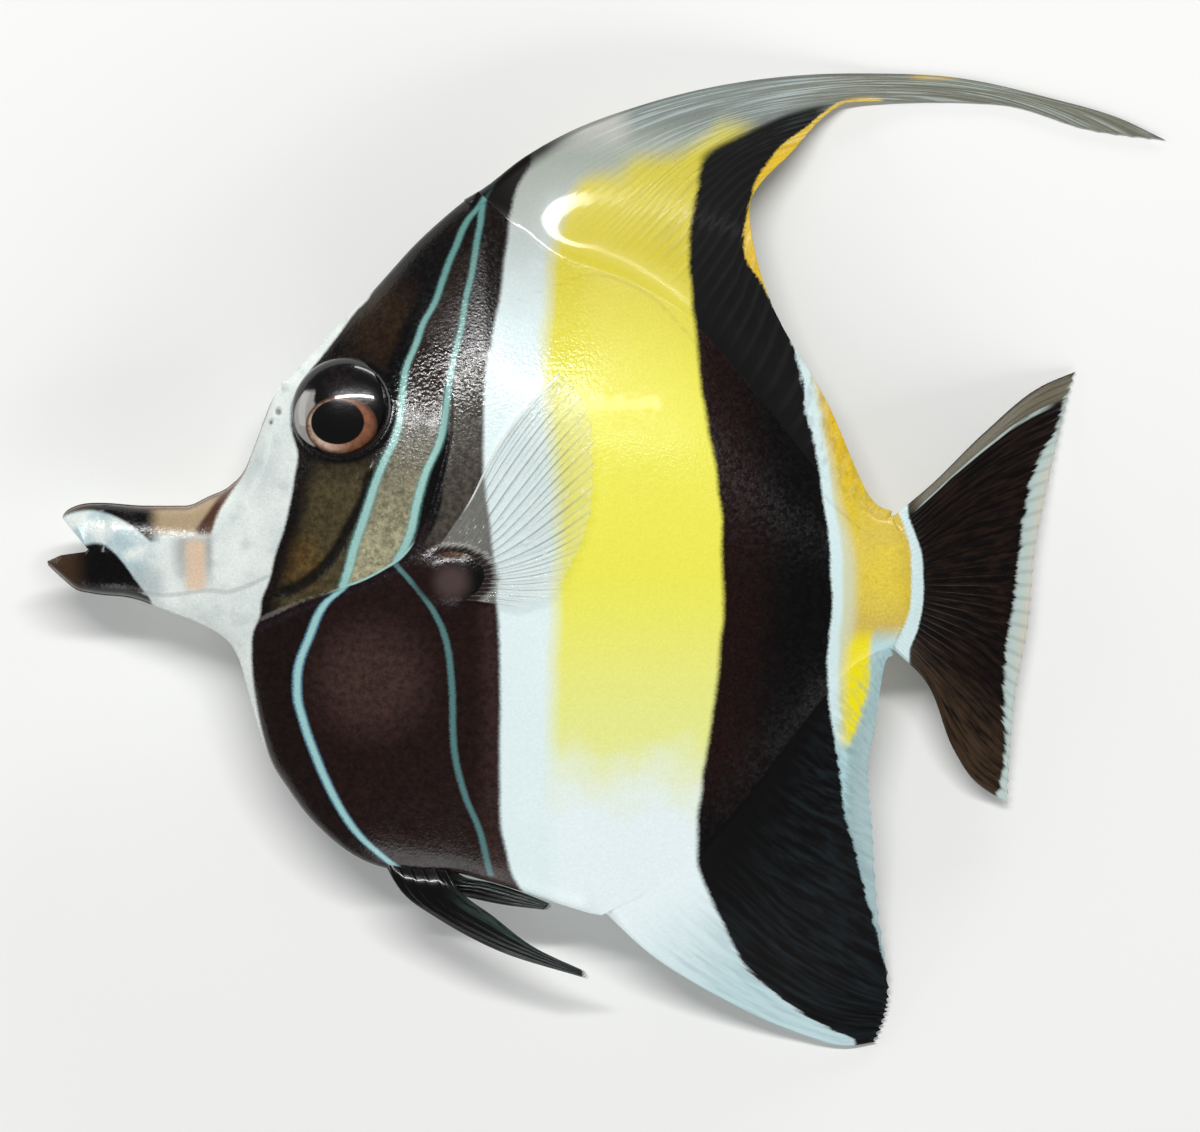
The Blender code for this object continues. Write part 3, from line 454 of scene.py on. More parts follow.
anal = {
    "rays": 36, "perRay": 4, "rows": 50, "fall": 3.4, "tip": 0.1, "ridge": 0.012,
    "notch": 0.012, "sink": 0.9, "guides": [
        (-0.9, [(4.2, -41.7), (11.5, -46.3), (18.8, -49.8), (25.2, -51.6), (28.1, -51.2)]),
        (5.0, [(11.5, -39.6), (17.8, -44.3), (24.1, -47.5), (29.2, -48.3)]),
        (9.4, [(13.6, -34.3), (18.8, -39.1), (25.2, -43.1), (29.5, -45.4)]),
        (13.1, [(16.7, -29.6), (23.1, -33.6), (28.2, -36.4)]),
        (16.7, [(20.9, -24.8), (25.2, -26.9), (27.6, -28.3)]),
        (20.4, [(23.6, -19.6), (27.1, -22.7)]),
        (24.1, [(26.0, -14.8), (27.9, -17.2)]),
        (28.1, [(28.5, -10.6), (28.8, -11.2)]),
        (29.5, [(29.6, -9.8), (29.7, -10.1)])]}
tail = {
    "rays": 34, "perRay": 4, "rows": 48, "fall": 2.6, "tip": 0.1, "ridge": 0.03,
    "notch": 0.012, "sink": 0.9, "endShare": 0.97, "guides": [
        (1.0, [(33.7, 7.8), (39.5, 13.4), (45.6, 18.3), (49.3, 19.9)]),
        (0.75, [(36.7, 8.3), (43.1, 12.8), (48.0, 15.2)]),
        (0.45, [(37.8, 5.2), (46.5, 8.8)]),
        (0.12, [(37.8, -0.3), (44.9, 0.9)]),
        (-0.2, [(37.8, -4.9), (44.3, -6.4)]),
        (-0.5, [(37.3, -9.6), (42.9, -13.8)]),
        (-0.78, [(36.2, -13.8), (42.3, -20.1)]),
        (-1.0, [(33.1, -12.8), (36.3, -20.3), (38.2, -23.2), (42.1, -26.0)])]}
pectoral = {
    "rays": 18, "perRay": 6, "rows": 48, "tip": 0.07, "restTip": 0.2, "ridge": 0.03,
    "notch": 0.012, "sink": 0.0, "gap": 0.3, "lift": 1.6, "liftShare": (0.3, 1.2), "guides": [
        [(-18.7, 0.3), (-16.9, 2.8), (-14.7, 6.2), (-12.3, 11.1), (-10.3, 14.2), (-8.1, 16.8),
            (-5.4, 19.5)],
        [(-18.7, -0.1), (-15.7, 1.9), (-13.2, 6.2), (-10.2, 10.8), (-7.2, 14.8), (-4.0, 18.2)],
        [(-18.8, -0.5), (-15.1, 0.7), (-12.6, 3.1), (-9.7, 6.7), (-6.4, 10.8), (-2.3, 15.4)],
        [(-18.9, -1.1), (-14.8, -0.2), (-12.5, 0.9), (-9.6, 3.3), (-6.2, 6.6), (-1.8, 10.6)],
        [(-18.9, -1.7), (-14.3, -1.1), (-11.4, -0.5), (-8.5, 0.6), (-5.4, 2.2), (-2.2, 4.4)],
        [(-18.9, -2.4), (-13.8, -2.1), (-10.9, -2.0), (-8.2, -1.6), (-4.1, -0.6)],
        [(-18.9, -3.3), (-13.8, -3.3), (-11.2, -3.4), (-9.1, -3.6), (-6.0, -3.6)],
        [(-18.7, -4.0), (-14.3, -4.4), (-11.9, -4.7), (-9.6, -5.0)]]}
pelvic = {
    "rays": 5, "perRay": 6, "rows": 40, "root": 0.75, "tip": 0.22, "ridge": 0.05,
    "notch": 0.03, "split": 0.75, "splitReach": (-1.0, 2.5), "swellReach": (-1.5, 1.5),
    "sink": 1.8,
    "left": [
        (-18.0, [(-15.9, -34.9), (-12.5, -37.5), (-8.5, -40.6), (-2.6, -43.5)]),
        (-21.6, [(-18.6, -35.9), (-13.4, -39.2), (-8.4, -41.5), (-2.4, -43.9)]),
        (-25.4, [(-21.6, -35.5), (-18.5, -37.7), (-12.7, -40.9), (-2.3, -44.3)])],
    "right": [
        (-18.0, [(-15.6, -33.4), (-12.6, -34.1), (-9.4, -35.1), (-6.2, -36.4)]),
        (-20.4, [(-17.6, -34.2), (-13.6, -34.9), (-10.2, -35.8), (-6.3, -36.7)]),
        (-22.8, [(-19.1, -34.6), (-14.9, -35.7), (-11.5, -36.4), (-6.6, -37.0)])]}


def edgeStart(edge, x, outward, sink, step=0.2):
    # where a ray leaves the body, sunk a little way into it
    slope = (edge(x + step) - edge(x - step)) / (2 * step)
    normal = Vector((-slope, 1)).normalized() * outward
    return x - normal.x * sink, float(edge(x)) - normal.y * sink


def tailStart(side):
    middle = float(widestLine(body["endX"]))
    edge = float(topEdge(body["endX"]) if side > 0 else bottomEdge(body["endX"]))
    y = middle + abs(side) * (edge - middle) * tail["endShare"]
    return body["endX"] + body["endBulge"] * (1 - side * side) - tail["sink"], y


def fanGrid(guides, columns, rows):
    shares = np.linspace(0, 1, rows + 1)
    rays = np.linspace(0, len(guides) - 1, columns + 1)
    lines = [pathThrough(points)(shares) for points in guides]
    numbers = np.arange(len(guides))
    grid = np.empty((2, columns + 1, rows + 1))
    for axis in range(2):
        for k in range(rows + 1):
            grid[axis, :, k] = smoothCurve(numbers, [line[axis][k] for line in lines])(rays)
    return grid[0], grid[1]


def makeFin(name, guides, form, placeFin, material, nodes):
    columns = form["rays"] * form["perRay"]
    rows = form["rows"]
    x, y = fanGrid(guides, columns, rows)
    phase = np.arange(columns + 1) / form["perRay"]
    onRay = np.repeat((np.cos(2 * pi * phase)[:, None] * 0.5 + 0.5) ** 2, rows + 1, axis=1)
    share = np.repeat(np.linspace(0, 1, rows + 1)[None, :], columns + 1, axis=0)
    for k in range(columns + 1):  # between the rays' tips the edge draws in a little
        drawn = share[k] * (1 - form["notch"] * (1 - onRay[k, 0]))
        x[k] = np.interp(drawn, share[k], x[k])
        y[k] = np.interp(drawn, share[k], y[k])
    steps = np.hypot(np.diff(x, axis=1), np.diff(y, axis=1))
    outward = np.concatenate([share[:, :1], np.cumsum(steps, axis=1)], axis=1) - form["sink"]
    aside = np.minimum(phase, form["rays"] - phase)[:, None]  # rays from the fin's nearer end
    thinning = np.sqrt(np.clip(aside / fins["endRays"], 0, 1))
    rounding = fins["endThickness"] + (1 - fins["endThickness"]) * thinning
    height, half = placeFin(x, y, share, onRay, outward)
    half = half * rounding
    bottom = np.maximum(height - half, 0)
    top = np.maximum(height + half, bottom + 2 * half)
    bm = bmesh.new()
    bm.loops.layers.uv.new("rayMap")
    bmesh.ops.create_grid(bm, x_segments=columns, y_segments=rows, size=1, calc_uvs=True)
    grown = bmesh.ops.extrude_face_region(bm, geom=bm.faces[:])
    raised = {item for item in grown["geom"] if isinstance(item, bmesh.types.BMVert)}
    for vert in bm.verts:
        i = round((vert.co.x + 1) / 2 * columns)
        j = round((vert.co.y + 1) / 2 * rows)
        vert.co = (x[i, j], y[i, j], top[i, j] if vert in raised else bottom[i, j])
    bmesh.ops.recalc_face_normals(bm, faces=bm.faces[:])
    return finishPiece(name, bm, material, nodes)


def bodyEdgeHalf(x, y):  # as thick as the body where the fin leaves it, and a hair more
    return finRoot(x) + body["edgeBand"] + fins["overlap"]


def bodyEndHalf(x, y):
    ends = np.full(y.shape, body["endX"])
    middle = widestLine(ends)
    room = np.where(y > middle, topEdge(ends) - middle, middle - bottomEdge(ends))
    return halfThickness(ends, np.clip(abs(y - middle) / room, 0, 1)) + fins["overlap"]


def middleFin(form, rootHalf):
    def placeFin(x, y, share, onRay, outward):
        falling = np.exp(-np.maximum(outward, 0) / form["fall"]) * (1 - share ** 2)
        half = form["tip"] + (rootHalf(x[:, :1], y[:, :1]) - form["tip"]) * falling
        half += onRay * form["ridge"] * smoothStep(share, *fins["ridgeStart"])
        return middleHeight(x, y), half
    return placeFin


def leftPectoral(x, y, share, onRay, outward):
    ridge = onRay * pectoral["ridge"] * smoothStep(share, *fins["pairedRidgeStart"])
    lift = pectoral["lift"] * smoothStep(share, *pectoral["liftShare"])
    return body["middle"] + flankAt(x, y) + pectoral["gap"] + lift, pectoral["tip"] + ridge


def rightPectoral(x, y, share, onRay, outward):
    half = pectoral["restTip"] + onRay * pectoral["ridge"] * smoothStep(
        share, *fins["pairedRidgeStart"])
    return half, half


def pelvicFin(leftRight):
    def placeFin(x, y, share, onRay, outward):
        across = np.linspace(-1, 1, len(x))[:, None]
        swell = (pelvic["root"] - pelvic["tip"]) * (1 - share) * smoothStep(
            outward, *pelvic["swellReach"])
        half = pelvic["tip"] + swell * np.sqrt(np.clip(1 - across ** 2, 0, 1))
        half += onRay * pelvic["ridge"] * smoothStep(share, *fins["pairedRidgeStart"])
        split = leftRight * pelvic["split"] * smoothStep(outward, *pelvic["splitReach"])
        return middleHeight(x, y) + split, half
    return placeFin


# shader helpers, which add their nodes to the tree that was begun last

# the pattern's edges are given within mapReach, and the cores are where a soft form is full
shading = {"tree": None, "mapReach": 60, "bellCore": 0.35, "spotCore": 0.25,
           "lineWidthY": (2.0, 24.0), "lineCore": (0.54, 0.12), "lineEnd": 0.5}

def tint(red, green, blue):  # a colour as the screen shows it
    return tuple(((v + 0.055) / 1.055) ** 2.4 if v > 0.04 else v / 12.92
                 for v in (red, green, blue)) + (1.0,)


def wire(socket, value):
    if isinstance(value, bpy.types.NodeSocket):
        shading["tree"].links.new(value, socket)
    else:
        socket.default_value = value


def addNode(kind, values, **settings):
    node = shading["tree"].nodes.new(kind)
    for name, setting in settings.items():
        setattr(node, name, setting)
    for key, value in values.items():
        wire(node.inputs[key], value)
    return node


def calc(operation, a, b=0.0, c=0.0):
    return addNode("ShaderNodeMath", {0: a, 1: b, 2: c}, operation=operation).outputs[0]


def plus(a, b):
    return calc("ADD", a, b)


def minus(a, b):
    return calc("SUBTRACT", a, b)


def scaled(value, factor, added):
    return calc("MULTIPLY_ADD", value, factor, added)


def times(*values):
    result, *others = values
    for value in others:
        result = calc("MULTIPLY", result, value)
    return result


def fade(value, start, end, low=0.0, high=1.0):  # from low at the start to high at the end
    if start > end:
        start, end, low, high = end, start, high, low
    values = {"Value": value, "From Min": start, "From Max": end, "To Min": low, "To Max": high}
    return addNode("ShaderNodeMapRange", values, interpolation_type="SMOOTHSTEP").outputs[0]


def bell(value, middle, width):  # 1 at the middle, 0 a width away on both sides
    return fade(calc("ABSOLUTE", minus(value, middle)), width, width * shading["bellCore"])


def mixed(factor, a, b, way="MIX"):
    return addNode("ShaderNodeMix", {0: factor, 6: a, 7: b}, data_type="RGBA",
                   blend_type=way).outputs[2]


def shaded(colour, level):
    return mixed(1.0, colour, vectorOf(level, level, level), "MULTIPLY")


def noise(place, scale, detail=2.0, roughness=0.5):
    values = {"Vector": place, "Scale": scale, "Detail": detail, "Roughness": roughness}
    return addNode("ShaderNodeTexNoise", values).outputs[0]


def vectorOf(x, y, z=0.0):
    return addNode("ShaderNodeCombineXYZ", {0: x, 1: y, 2: z}).outputs[0]


def partsOf(vector):
    return addNode("ShaderNodeSeparateXYZ", {0: vector}).outputs


def attribute(name):
    return addNode("ShaderNodeAttribute", {}, attribute_name=name).outputs["Fac"]


def curveAt(value, edge):
    # the height or the x that one of the pattern's edges has there
    reach, points = shading["mapReach"], edges[edge]
    node = addNode("ShaderNodeFloatCurve", {})
    curve = node.mapping.curves[0]
    while len(curve.points) < len(points):
        curve.points.new(0.5, 0.5)
    for point, place in zip(curve.points, points):
        point.location = [(number + reach) / (2 * reach) for number in place]
        point.handle_type = "AUTO_CLAMPED"
    node.mapping.extend = "HORIZONTAL"
    node.mapping.update()
    wire(node.inputs["Value"], scaled(value, 1 / (2 * reach), 0.5))
    return scaled(node.outputs[0], 2 * reach, -reach)


def lineMask(x, y, edge, widths, low, high):
    # a soft line from height low to height high, widths at its low and its high end
    end = shading["lineEnd"]
    away = calc("ABSOLUTE", minus(x, curveAt(y, edge)))
    width = fade(y, *shading["lineWidthY"], *widths)
    core = fade(calc("DIVIDE", away, width), *shading["lineCore"])
    return times(core, fade(y, low, low + end), fade(y, high, high - end))


def ovalReach(x, y, oval):  # 1 on an oval given by its middle and its half sizes
    dx = calc("DIVIDE", minus(x, oval[0]), oval[2])
    dy = calc("DIVIDE", minus(y, oval[1]), oval[3])
    return calc("SQRT", plus(times(dx, dx), times(dy, dy)))


def spot(x, y, middleX, middleY, radius):
    # 1 in the middle of a soft round spot, 0 outside it
    dx, dy = minus(x, middleX), minus(y, middleY)
    away = calc("SQRT", plus(times(dx, dx), times(dy, dy)))
    return fade(away, radius, radius * shading["spotCore"])


def newGroup(name, inputs, outputs):
    group = shading["tree"] = bpy.data.node_groups.new(name, "ShaderNodeTree")
    for way, sockets in (("INPUT", inputs), ("OUTPUT", outputs)):
        for label, kind in sockets.items():
            group.interface.new_socket(name=label, in_out=way, socket_type="NodeSocket" + kind)
    return (group, group.nodes.new("NodeGroupInput").outputs,
            group.nodes.new("NodeGroupOutput").inputs)


def useGroup(group, values):
    return addNode("ShaderNodeGroup", values, node_tree=group).outputs


def useMillimetres():
    coordinates = addNode("ShaderNodeTexCoord", {}).outputs["Object"]
    return addNode("ShaderNodeVectorMath", {0: coordinates, "Scale": 1 / metres},
                   operation="SCALE").outputs[0]


def newMaterial(name):
    material = bpy.data.materials.new(name)
    material.use_nodes = True
    shading["tree"] = material.node_tree
    return material, material.node_tree.nodes["Principled BSDF"]


def setGloss(shader, colour, height, roughness, coat, depth, coatRoughness=0.06, specular=0.25):
    bump = addNode("ShaderNodeBump", {"Height": height, "Distance": depth * metres,
                                      "Strength": 1.0})
    sockets = {"Base Color": colour, "Roughness": roughness, "Normal": bump.outputs[0],
               "Coat Weight": coat, "Coat Roughness": coatRoughness, "Coat IOR": 1.36,
               "Specular IOR Level": specular}
    for name, value in sockets.items():
        wire(shader.inputs[name], value)


# the pattern is given in tables. A share is a product of limits, and a recipe is a base colour
# and the layers over it, each a colour and its limits. A limit is a number, the name of a share,
# or a kind with its numbers: a value's name and where it goes from 0 to 1, or one of those below.

def limitOf(known, limit):
    if isinstance(limit, str):
        return known[limit]
    if not isinstance(limit, tuple):
        return limit
    kind, *rest = limit
    if kind == "not":
        return minus(1.0, limitOf(known, rest[0]))
    if kind == "spot":
        return spot(known["x"], known["y"], *rest)
    if kind == "bell":
        return bell(known[rest[0]], *rest[1:])
    if kind == "past":  # 0 on the snout's side of an edge, 1 on the tail's
        return fade(minus(known["x"], curveAt(known["y"], rest[0])), -rest[1], rest[1])
    if kind == "above":
        return fade(minus(known["y"], curveAt(known["x"], rest[0])), *rest[1:])
    if kind == "line":
        return lineMask(known["x"], known["y"], *rest)
    return fade(known[kind], *rest)


def shareOf(known, limits):
    return times(*[limitOf(known, limit) for limit in limits])


def workOut(known, shares, recipes):
    for name, limits in shares.items():
        known[name] = shareOf(known, limits)
    for name, (base, *layers) in recipes.items():
        colour = known[base]
        for paint, *limits in layers:
            colour = mixed(shareOf(known, limits), colour, known[paint])
        known[name] = colour


def paintsOf(piece):
    return {name: tint(*paint) for name, paint in piece["paints"].items()}


# the pattern's edges: x at each height, apart from the four that are heights at each x

edges = {
    "frontRear": [(-35.9, -8.5), (-34.8, -9.6), (-30.6, -11.2), (-25.4, -11.7), (-14.8, -11.7),
        (-4.3, -12.0), (-0.1, -12.4), (4.1, -12.9), (8.3, -13.3), (12.5, -13.4), (16.7, -13.4),
        (19.1, -13.3), (21.8, -12.7), (25.4, -12.2), (28.3, -11.6), (31.2, -11.3), (33.9, -10.9),
        (36.6, -10.6), (39.4, -9.8), (42.0, -8.3)],
    "paleYellow": [(-30.6, -6.2), (-24.3, -6.4), (-14.8, -6.2), (-4.3, -5.8), (4.1, -5.6),
        (11.5, -6.1), (16.7, -6.8), (21.8, -7.1), (27.3, -6.6), (33.6, -6.0), (36.2, -5.1),
        (39.6, -3.5), (41.5, -2.0), (43.1, -1.2)],
    "secondLeft": [(-50.9, 26.0), (-50.0, 23.7), (-48.0, 20.0), (-45.5, 16.8), (-42.7, 14.0),
        (-39.1, 12.3), (-36.6, 10.9), (-34.6, 10.0), (-31.8, 9.2), (-28.7, 9.2), (-23.3, 9.6),
        (-16.9, 10.6), (-9.6, 11.3), (-2.2, 11.7), (3.1, 11.7), (9.4, 10.9), (16.7, 9.7),
        (24.1, 8.8), (27.3, 8.5), (31.5, 8.1), (35.2, 8.4), (39.9, 9.3), (42.5, 9.9), (44.1, 12.0),
        (46.2, 16.2), (47.8, 20.7), (48.6, 25.2), (50.0, 34.0)],
    "secondRight": [(-51.2, 28.8), (-49.6, 29.6), (-45.4, 29.6), (-41.9, 28.7), (-38.6, 27.9),
        (-35.4, 26.9), (-32.2, 26.1), (-29.4, 25.3), (-22.2, 24.1), (-18.5, 23.4), (-14.8, 22.7),
        (-10.7, 22.7), (-7.1, 23.1), (-4.4, 23.2), (-0.7, 23.1), (2.9, 22.8), (6.5, 22.2),
        (11.5, 21.5), (15.7, 20.6), (20.9, 19.8), (23.6, 18.8), (26.4, 17.3), (29.4, 15.5),
        (32.5, 14.1), (35.4, 14.2), (38.0, 14.8), (40.4, 15.6), (43.1, 17.5), (45.9, 20.8),
        (47.3, 22.4), (48.6, 24.4), (50.0, 34.0)],
    "whiteRight": [(-19.1, 25.2), (-14.8, 23.9), (-11.6, 23.9), (-8.0, 24.1), (-4.4, 24.4),
        (-0.7, 24.4), (3.8, 23.9), (7.4, 23.2), (11.5, 22.6), (15.7, 22.0), (19.9, 21.2),
        (22.5, 20.2), (25.4, 18.4), (27.3, 16.6), (29.4, 14.8), (32.5, 13.0), (37.3, 13.0),
        (40.4, 13.6), (43.1, 15.4), (48.0, 21.0)],
    "greyRight": [(-14.8, 24.3), (-10.6, 24.6), (-6.4, 25.6), (-3.3, 25.7), (0.9, 25.5),
        (4.1, 24.7), (8.3, 23.6), (11.5, 22.9), (15.7, 22.3), (18.8, 21.6), (21.5, 20.6),
        (24.1, 19.3), (27.3, 16.6), (29.4, 14.8), (32.5, 13.0), (37.3, 13.0), (40.4, 13.6),
        (43.1, 15.4), (48.0, 21.0)],
    "patchRight": [(-20.3, 25.0), (-17.5, 26.0), (-14.7, 26.9), (-11.2, 27.2), (-8.0, 27.4),
        (-6.6, 27.8)],
    "crescentLeft": [(-8.9, 29.8), (-6.2, 31.1), (-4.4, 31.4), (-1.7, 31.6), (1.1, 31.4),
        (3.8, 30.7), (5.0, 30.3)],
    "crescentRight": [(-9.6, 31.3), (-7.1, 32.4), (-4.4, 32.8), (-1.8, 32.9), (1.1, 32.5),
        (3.8, 31.5), (5.0, 31.2)],
    "frontFront": [(-25.4, -33.3), (-22.2, -35.4), (-18.5, -36.6), (-14.8, -37.3), (-12.5, -37.6),
        (-9.6, -37.7), (-7.6, -37.5), (-6.0, -36.8), (-4.3, -36.6), (-2.3, -35.8), (0.3, -35.2),
        (2.9, -34.3), (4.9, -33.8), (6.8, -33.4), (8.8, -33.1), (10.8, -32.8), (12.8, -33.3),
        (14.4, -33.6), (16.2, -33.5), (17.8, -32.8), (19.3, -32.0), (20.9, -30.7), (22.7, -29.3),
        (24.3, -28.1), (26.1, -26.8), (27.3, -25.6), (29.5, -24.6)],
    "lineA": [(-2.8, -28.0), (-1.7, -27.6), (1.3, -26.8), (4.5, -25.7), (8.2, -24.5),
        (10.4, -23.6), (12.5, -22.6), (15.2, -22.0), (18.2, -21.7), (20.1, -21.4), (22.5, -20.4),
        (24.6, -19.7), (26.8, -18.5), (29.4, -17.6), (31.4, -16.9), (33.0, -16.2), (34.6, -15.6),
        (36.1, -14.7), (37.1, -13.8), (38.3, -13.1), (40.4, -11.9)],
    "lineB": [(-0.4, -22.5), (0.6, -21.9), (2.5, -21.0), (5.6, -20.3), (8.8, -19.4), (12.5, -17.8),
        (16.2, -17.2), (18.5, -16.9), (21.1, -16.4), (24.1, -15.7), (27.3, -15.2), (30.4, -14.5),
        (33.2, -14.1), (35.4, -13.7), (37.1, -13.5), (38.8, -12.8)],
    "lineC": [(-33.1, -21.2), (-32.3, -22.7), (-30.6, -24.8), (-29.1, -26.4), (-26.9, -28.0),
        (-23.5, -29.8), (-20.1, -31.2), (-17.2, -32.2), (-13.8, -32.9), (-11.6, -32.8),
        (-8.2, -31.6), (-4.8, -30.0), (-3.1, -28.1), (-2.2, -27.3)],
    "lineD": [(-33.8, -12.5), (-32.3, -12.9), (-28.5, -13.8), (-24.8, -15.3), (-20.1, -16.4),
        (-12.5, -16.7), (-8.3, -17.3), (-5.7, -18.4), (-3.8, -19.7), (-2.0, -21.2), (-0.4, -22.6),
        (0.1, -22.9)],
    "gapRight": [(0.7, -20.8), (2.0, -19.3), (4.6, -18.0), (8.3, -17.3), (12.5, -16.8)],
    "stripeLeft": [(3.0, -43.6), (3.5, -43.3), (4.9, -42.3), (6.5, -41.2), (8.0, -39.6),
        (9.4, -38.9)],
    "stripeRight": [(2.8, -41.9), (4.9, -41.2), (6.4, -40.3), (8.3, -39.1), (9.4, -38.5)],
    "tailMargin": [(-26.0, 40.8), (-19.1, 41.8), (-14.8, 41.6), (-11.6, 41.7), (-8.9, 41.9),
        (-6.2, 42.3), (-2.9, 42.8), (-0.7, 43.1), (2.8, 43.4), (5.6, 43.9), (8.3, 44.5),
        (10.4, 45.4), (14.1, 47.3), (16.7, 48.0), (19.9, 49.6)],
    "yellowTop": [(-3.7, 40.0), (-2.7, 40.6), (0.0, 41.8), (3.0, 42.3), (7.3, 42.9), (9.7, 44.4),
        (12.0, 46.0), (16.0, 45.0), (30.0, 40.0)],
    "streamerFoot": [(20.0, 47.6), (23.0, 48.3), (27.3, 48.9), (30.0, 48.0), (40.0, 40.0)],
    "wedgeFoot": [(-57.7, 4.5), (-56.4, 5.0), (-54.8, 5.2), (-53.1, 4.9), (-51.4, 4.2),
        (-49.7, 3.1), (-48.3, 1.9)],
    "chinTop": [(-59.4, 0.9), (-55.9, 1.1), (-55.1, 1.5), (-54.2, 1.7), (-53.4, 1.6),
        (-51.4, -0.1), (-50.0, -2.1), (-48.3, -4.4), (-47.9, -5.4)],
}


# the bands that cross the body and run out onto the fins

bands = {
    "grain": (3.5, 3.0, 0.65), "cloud": (0.18, 2.0), "wave": (0.9, 0.5), "sinking": 9.0,
    "paleSoft": (-0.9, 1.0), "bandSoft": (40.0, 46.0, 0.38, 1.5), "shade": (0.22, 0.89),
    "paints": {
        "paleBlue": (0.885, 0.945, 0.945), "paleGrey": (0.66, 0.68, 0.65),
        "yellow": (0.93, 0.91, 0.34), "yellowHigh": (0.82, 0.765, 0.235),
        "yellowLow": (0.91, 0.92, 0.56), "belly": (0.91, 0.955, 0.96),
        "sail": (0.50, 0.53, 0.51), "sailLow": (0.62, 0.65, 0.61),
        "sailFront": (0.72, 0.715, 0.685), "sailRear": (0.45, 0.45, 0.39),
        "frontBrown": (0.06, 0.035, 0.035), "lineEnd": (0.25, 0.45, 0.43),
        "brown": (0.15, 0.055, 0.04), "black": (0.012, 0.007, 0.008),
        "whiteLine": (0.83, 0.91, 0.91), "greyLine": (0.82, 0.83, 0.70),
        "gold": (0.85, 0.74, 0.20), "goldHigh": (0.87, 0.70, 0.12), "goldLow": (0.77, 0.65, 0.38),
        "goldPale": (0.91, 0.82, 0.36), "patch": (0.94, 0.88, 0.08), "margin": (0.70, 0.82, 0.83),
        "caudal": (0.06, 0.038, 0.035)},
    "shares": {
        "streamer": [("x", 21.0, 25.5), ("y", 30.0, 34.0)],
        "onStreamer": ["streamer", ("above", "streamerFoot", -0.3, 0.3)],
        "inBand": [("bandDepth", -1.0, 1.0), ("not", "streamer")],
        "pastBand": [("past", "secondRight", 0.22), ("not", "onStreamer")],
        "tailZone": [("x", 28.0, 29.0), ("y", -11.5, -10.5), ("y", 9.0, 6.0)],
        "dark": ["inBand", ("not", "pastBand")],
        "clear": ["pastBand", ("y", -6.0, -20.0), ("past", "patchRight", 0.5)]},
    "recipes": {
        "paleSkin": ["paleBlue", ("paleGrey", ("y", 20.0, 41.0)),
                     ("belly", ("cloud", 0.45, 0.75), 0.35)],
        "yellowSkin": ["yellow", ("yellowHigh", ("y", 14.0, 34.0)),
                       ("yellowLow", ("y", 0.0, -20.0)), ("belly", ("sunk", -17.5, -28.0))],
        "sailSkin": ["sailLow", ("sail", ("y", 43.0, 47.0)), ("sailRear", ("x", 15.0, 27.0))],
        "sailFrontSkin": ["sailLow", ("sailFront", ("y", 42.0, 46.0))],
        "bandSkin": ["black", ("brown", ("inside", 8.0, 1.0), ("y", -30.0, -20.0),
                               ("y", 32.0, 22.0), ("not", "fin"), ("grain", 0.2, 0.8))],
        "patchSkin": ["patch", ("margin", ("past", "patchRight", 0.4))],
        "goldSkin": ["gold", ("goldHigh", ("y", 3.0, 14.0)), ("goldLow", ("y", -2.5, -8.0), 0.7),
                     ("goldLow", ("x", 28.5, 31.5), ("y", -8.0, 8.0), 0.6),
                     ("goldPale", ("bell", "x", 28.0, 3.2), ("bell", "y", -1.0, 7.0),
                      ("grain", 0.2, 0.6), 0.5),
                     ("yellow", ("grain", 0.35, 0.7), 0.22),
                     ("goldLow", ("cloud", 0.42, 0.62), ("x", 24.5, 27.5), 0.25),
                     ("patchSkin", ("y", -6.6, -9.2))],
        "behindSkin": ["whiteLine", ("greyLine", ("past", "whiteRight", 0.3)),
                       ("goldSkin", ("past", "greyRight", 0.9)), ("margin", ("y", -18.5, -20.5))],
        "pattern": ["paleSkin", ("yellowSkin", "yellowShare"),
                    ("sailSkin", ("above", "yellowTop", -1.7, 1.6), ("x", -4.0, -1.5)),
                    ("sailFrontSkin", ("y", 38.5, 42.5), ("x", 3.0, 0.0)),
                    ("frontBrown", ("not", ("past", "frontRear", 0.35))),
                    ("lineEnd", ("line", "lineA", (0.9, 0.6), 36.0, 40.2), "fin", 0.8),
                    ("bandSkin", "inBand"), ("behindSkin", "pastBand"),
                    ("goldHigh", "onStreamer", ("x", 31.0, 33.5), ("x", 38.5, 36.0),
                     ("y", 50.6, 51.2), 0.8),
                    ("whiteLine", "tailZone", ("past", "crescentLeft", 0.22)),
                    ("caudal", "tailZone", ("past", "crescentRight", 0.15))]}}


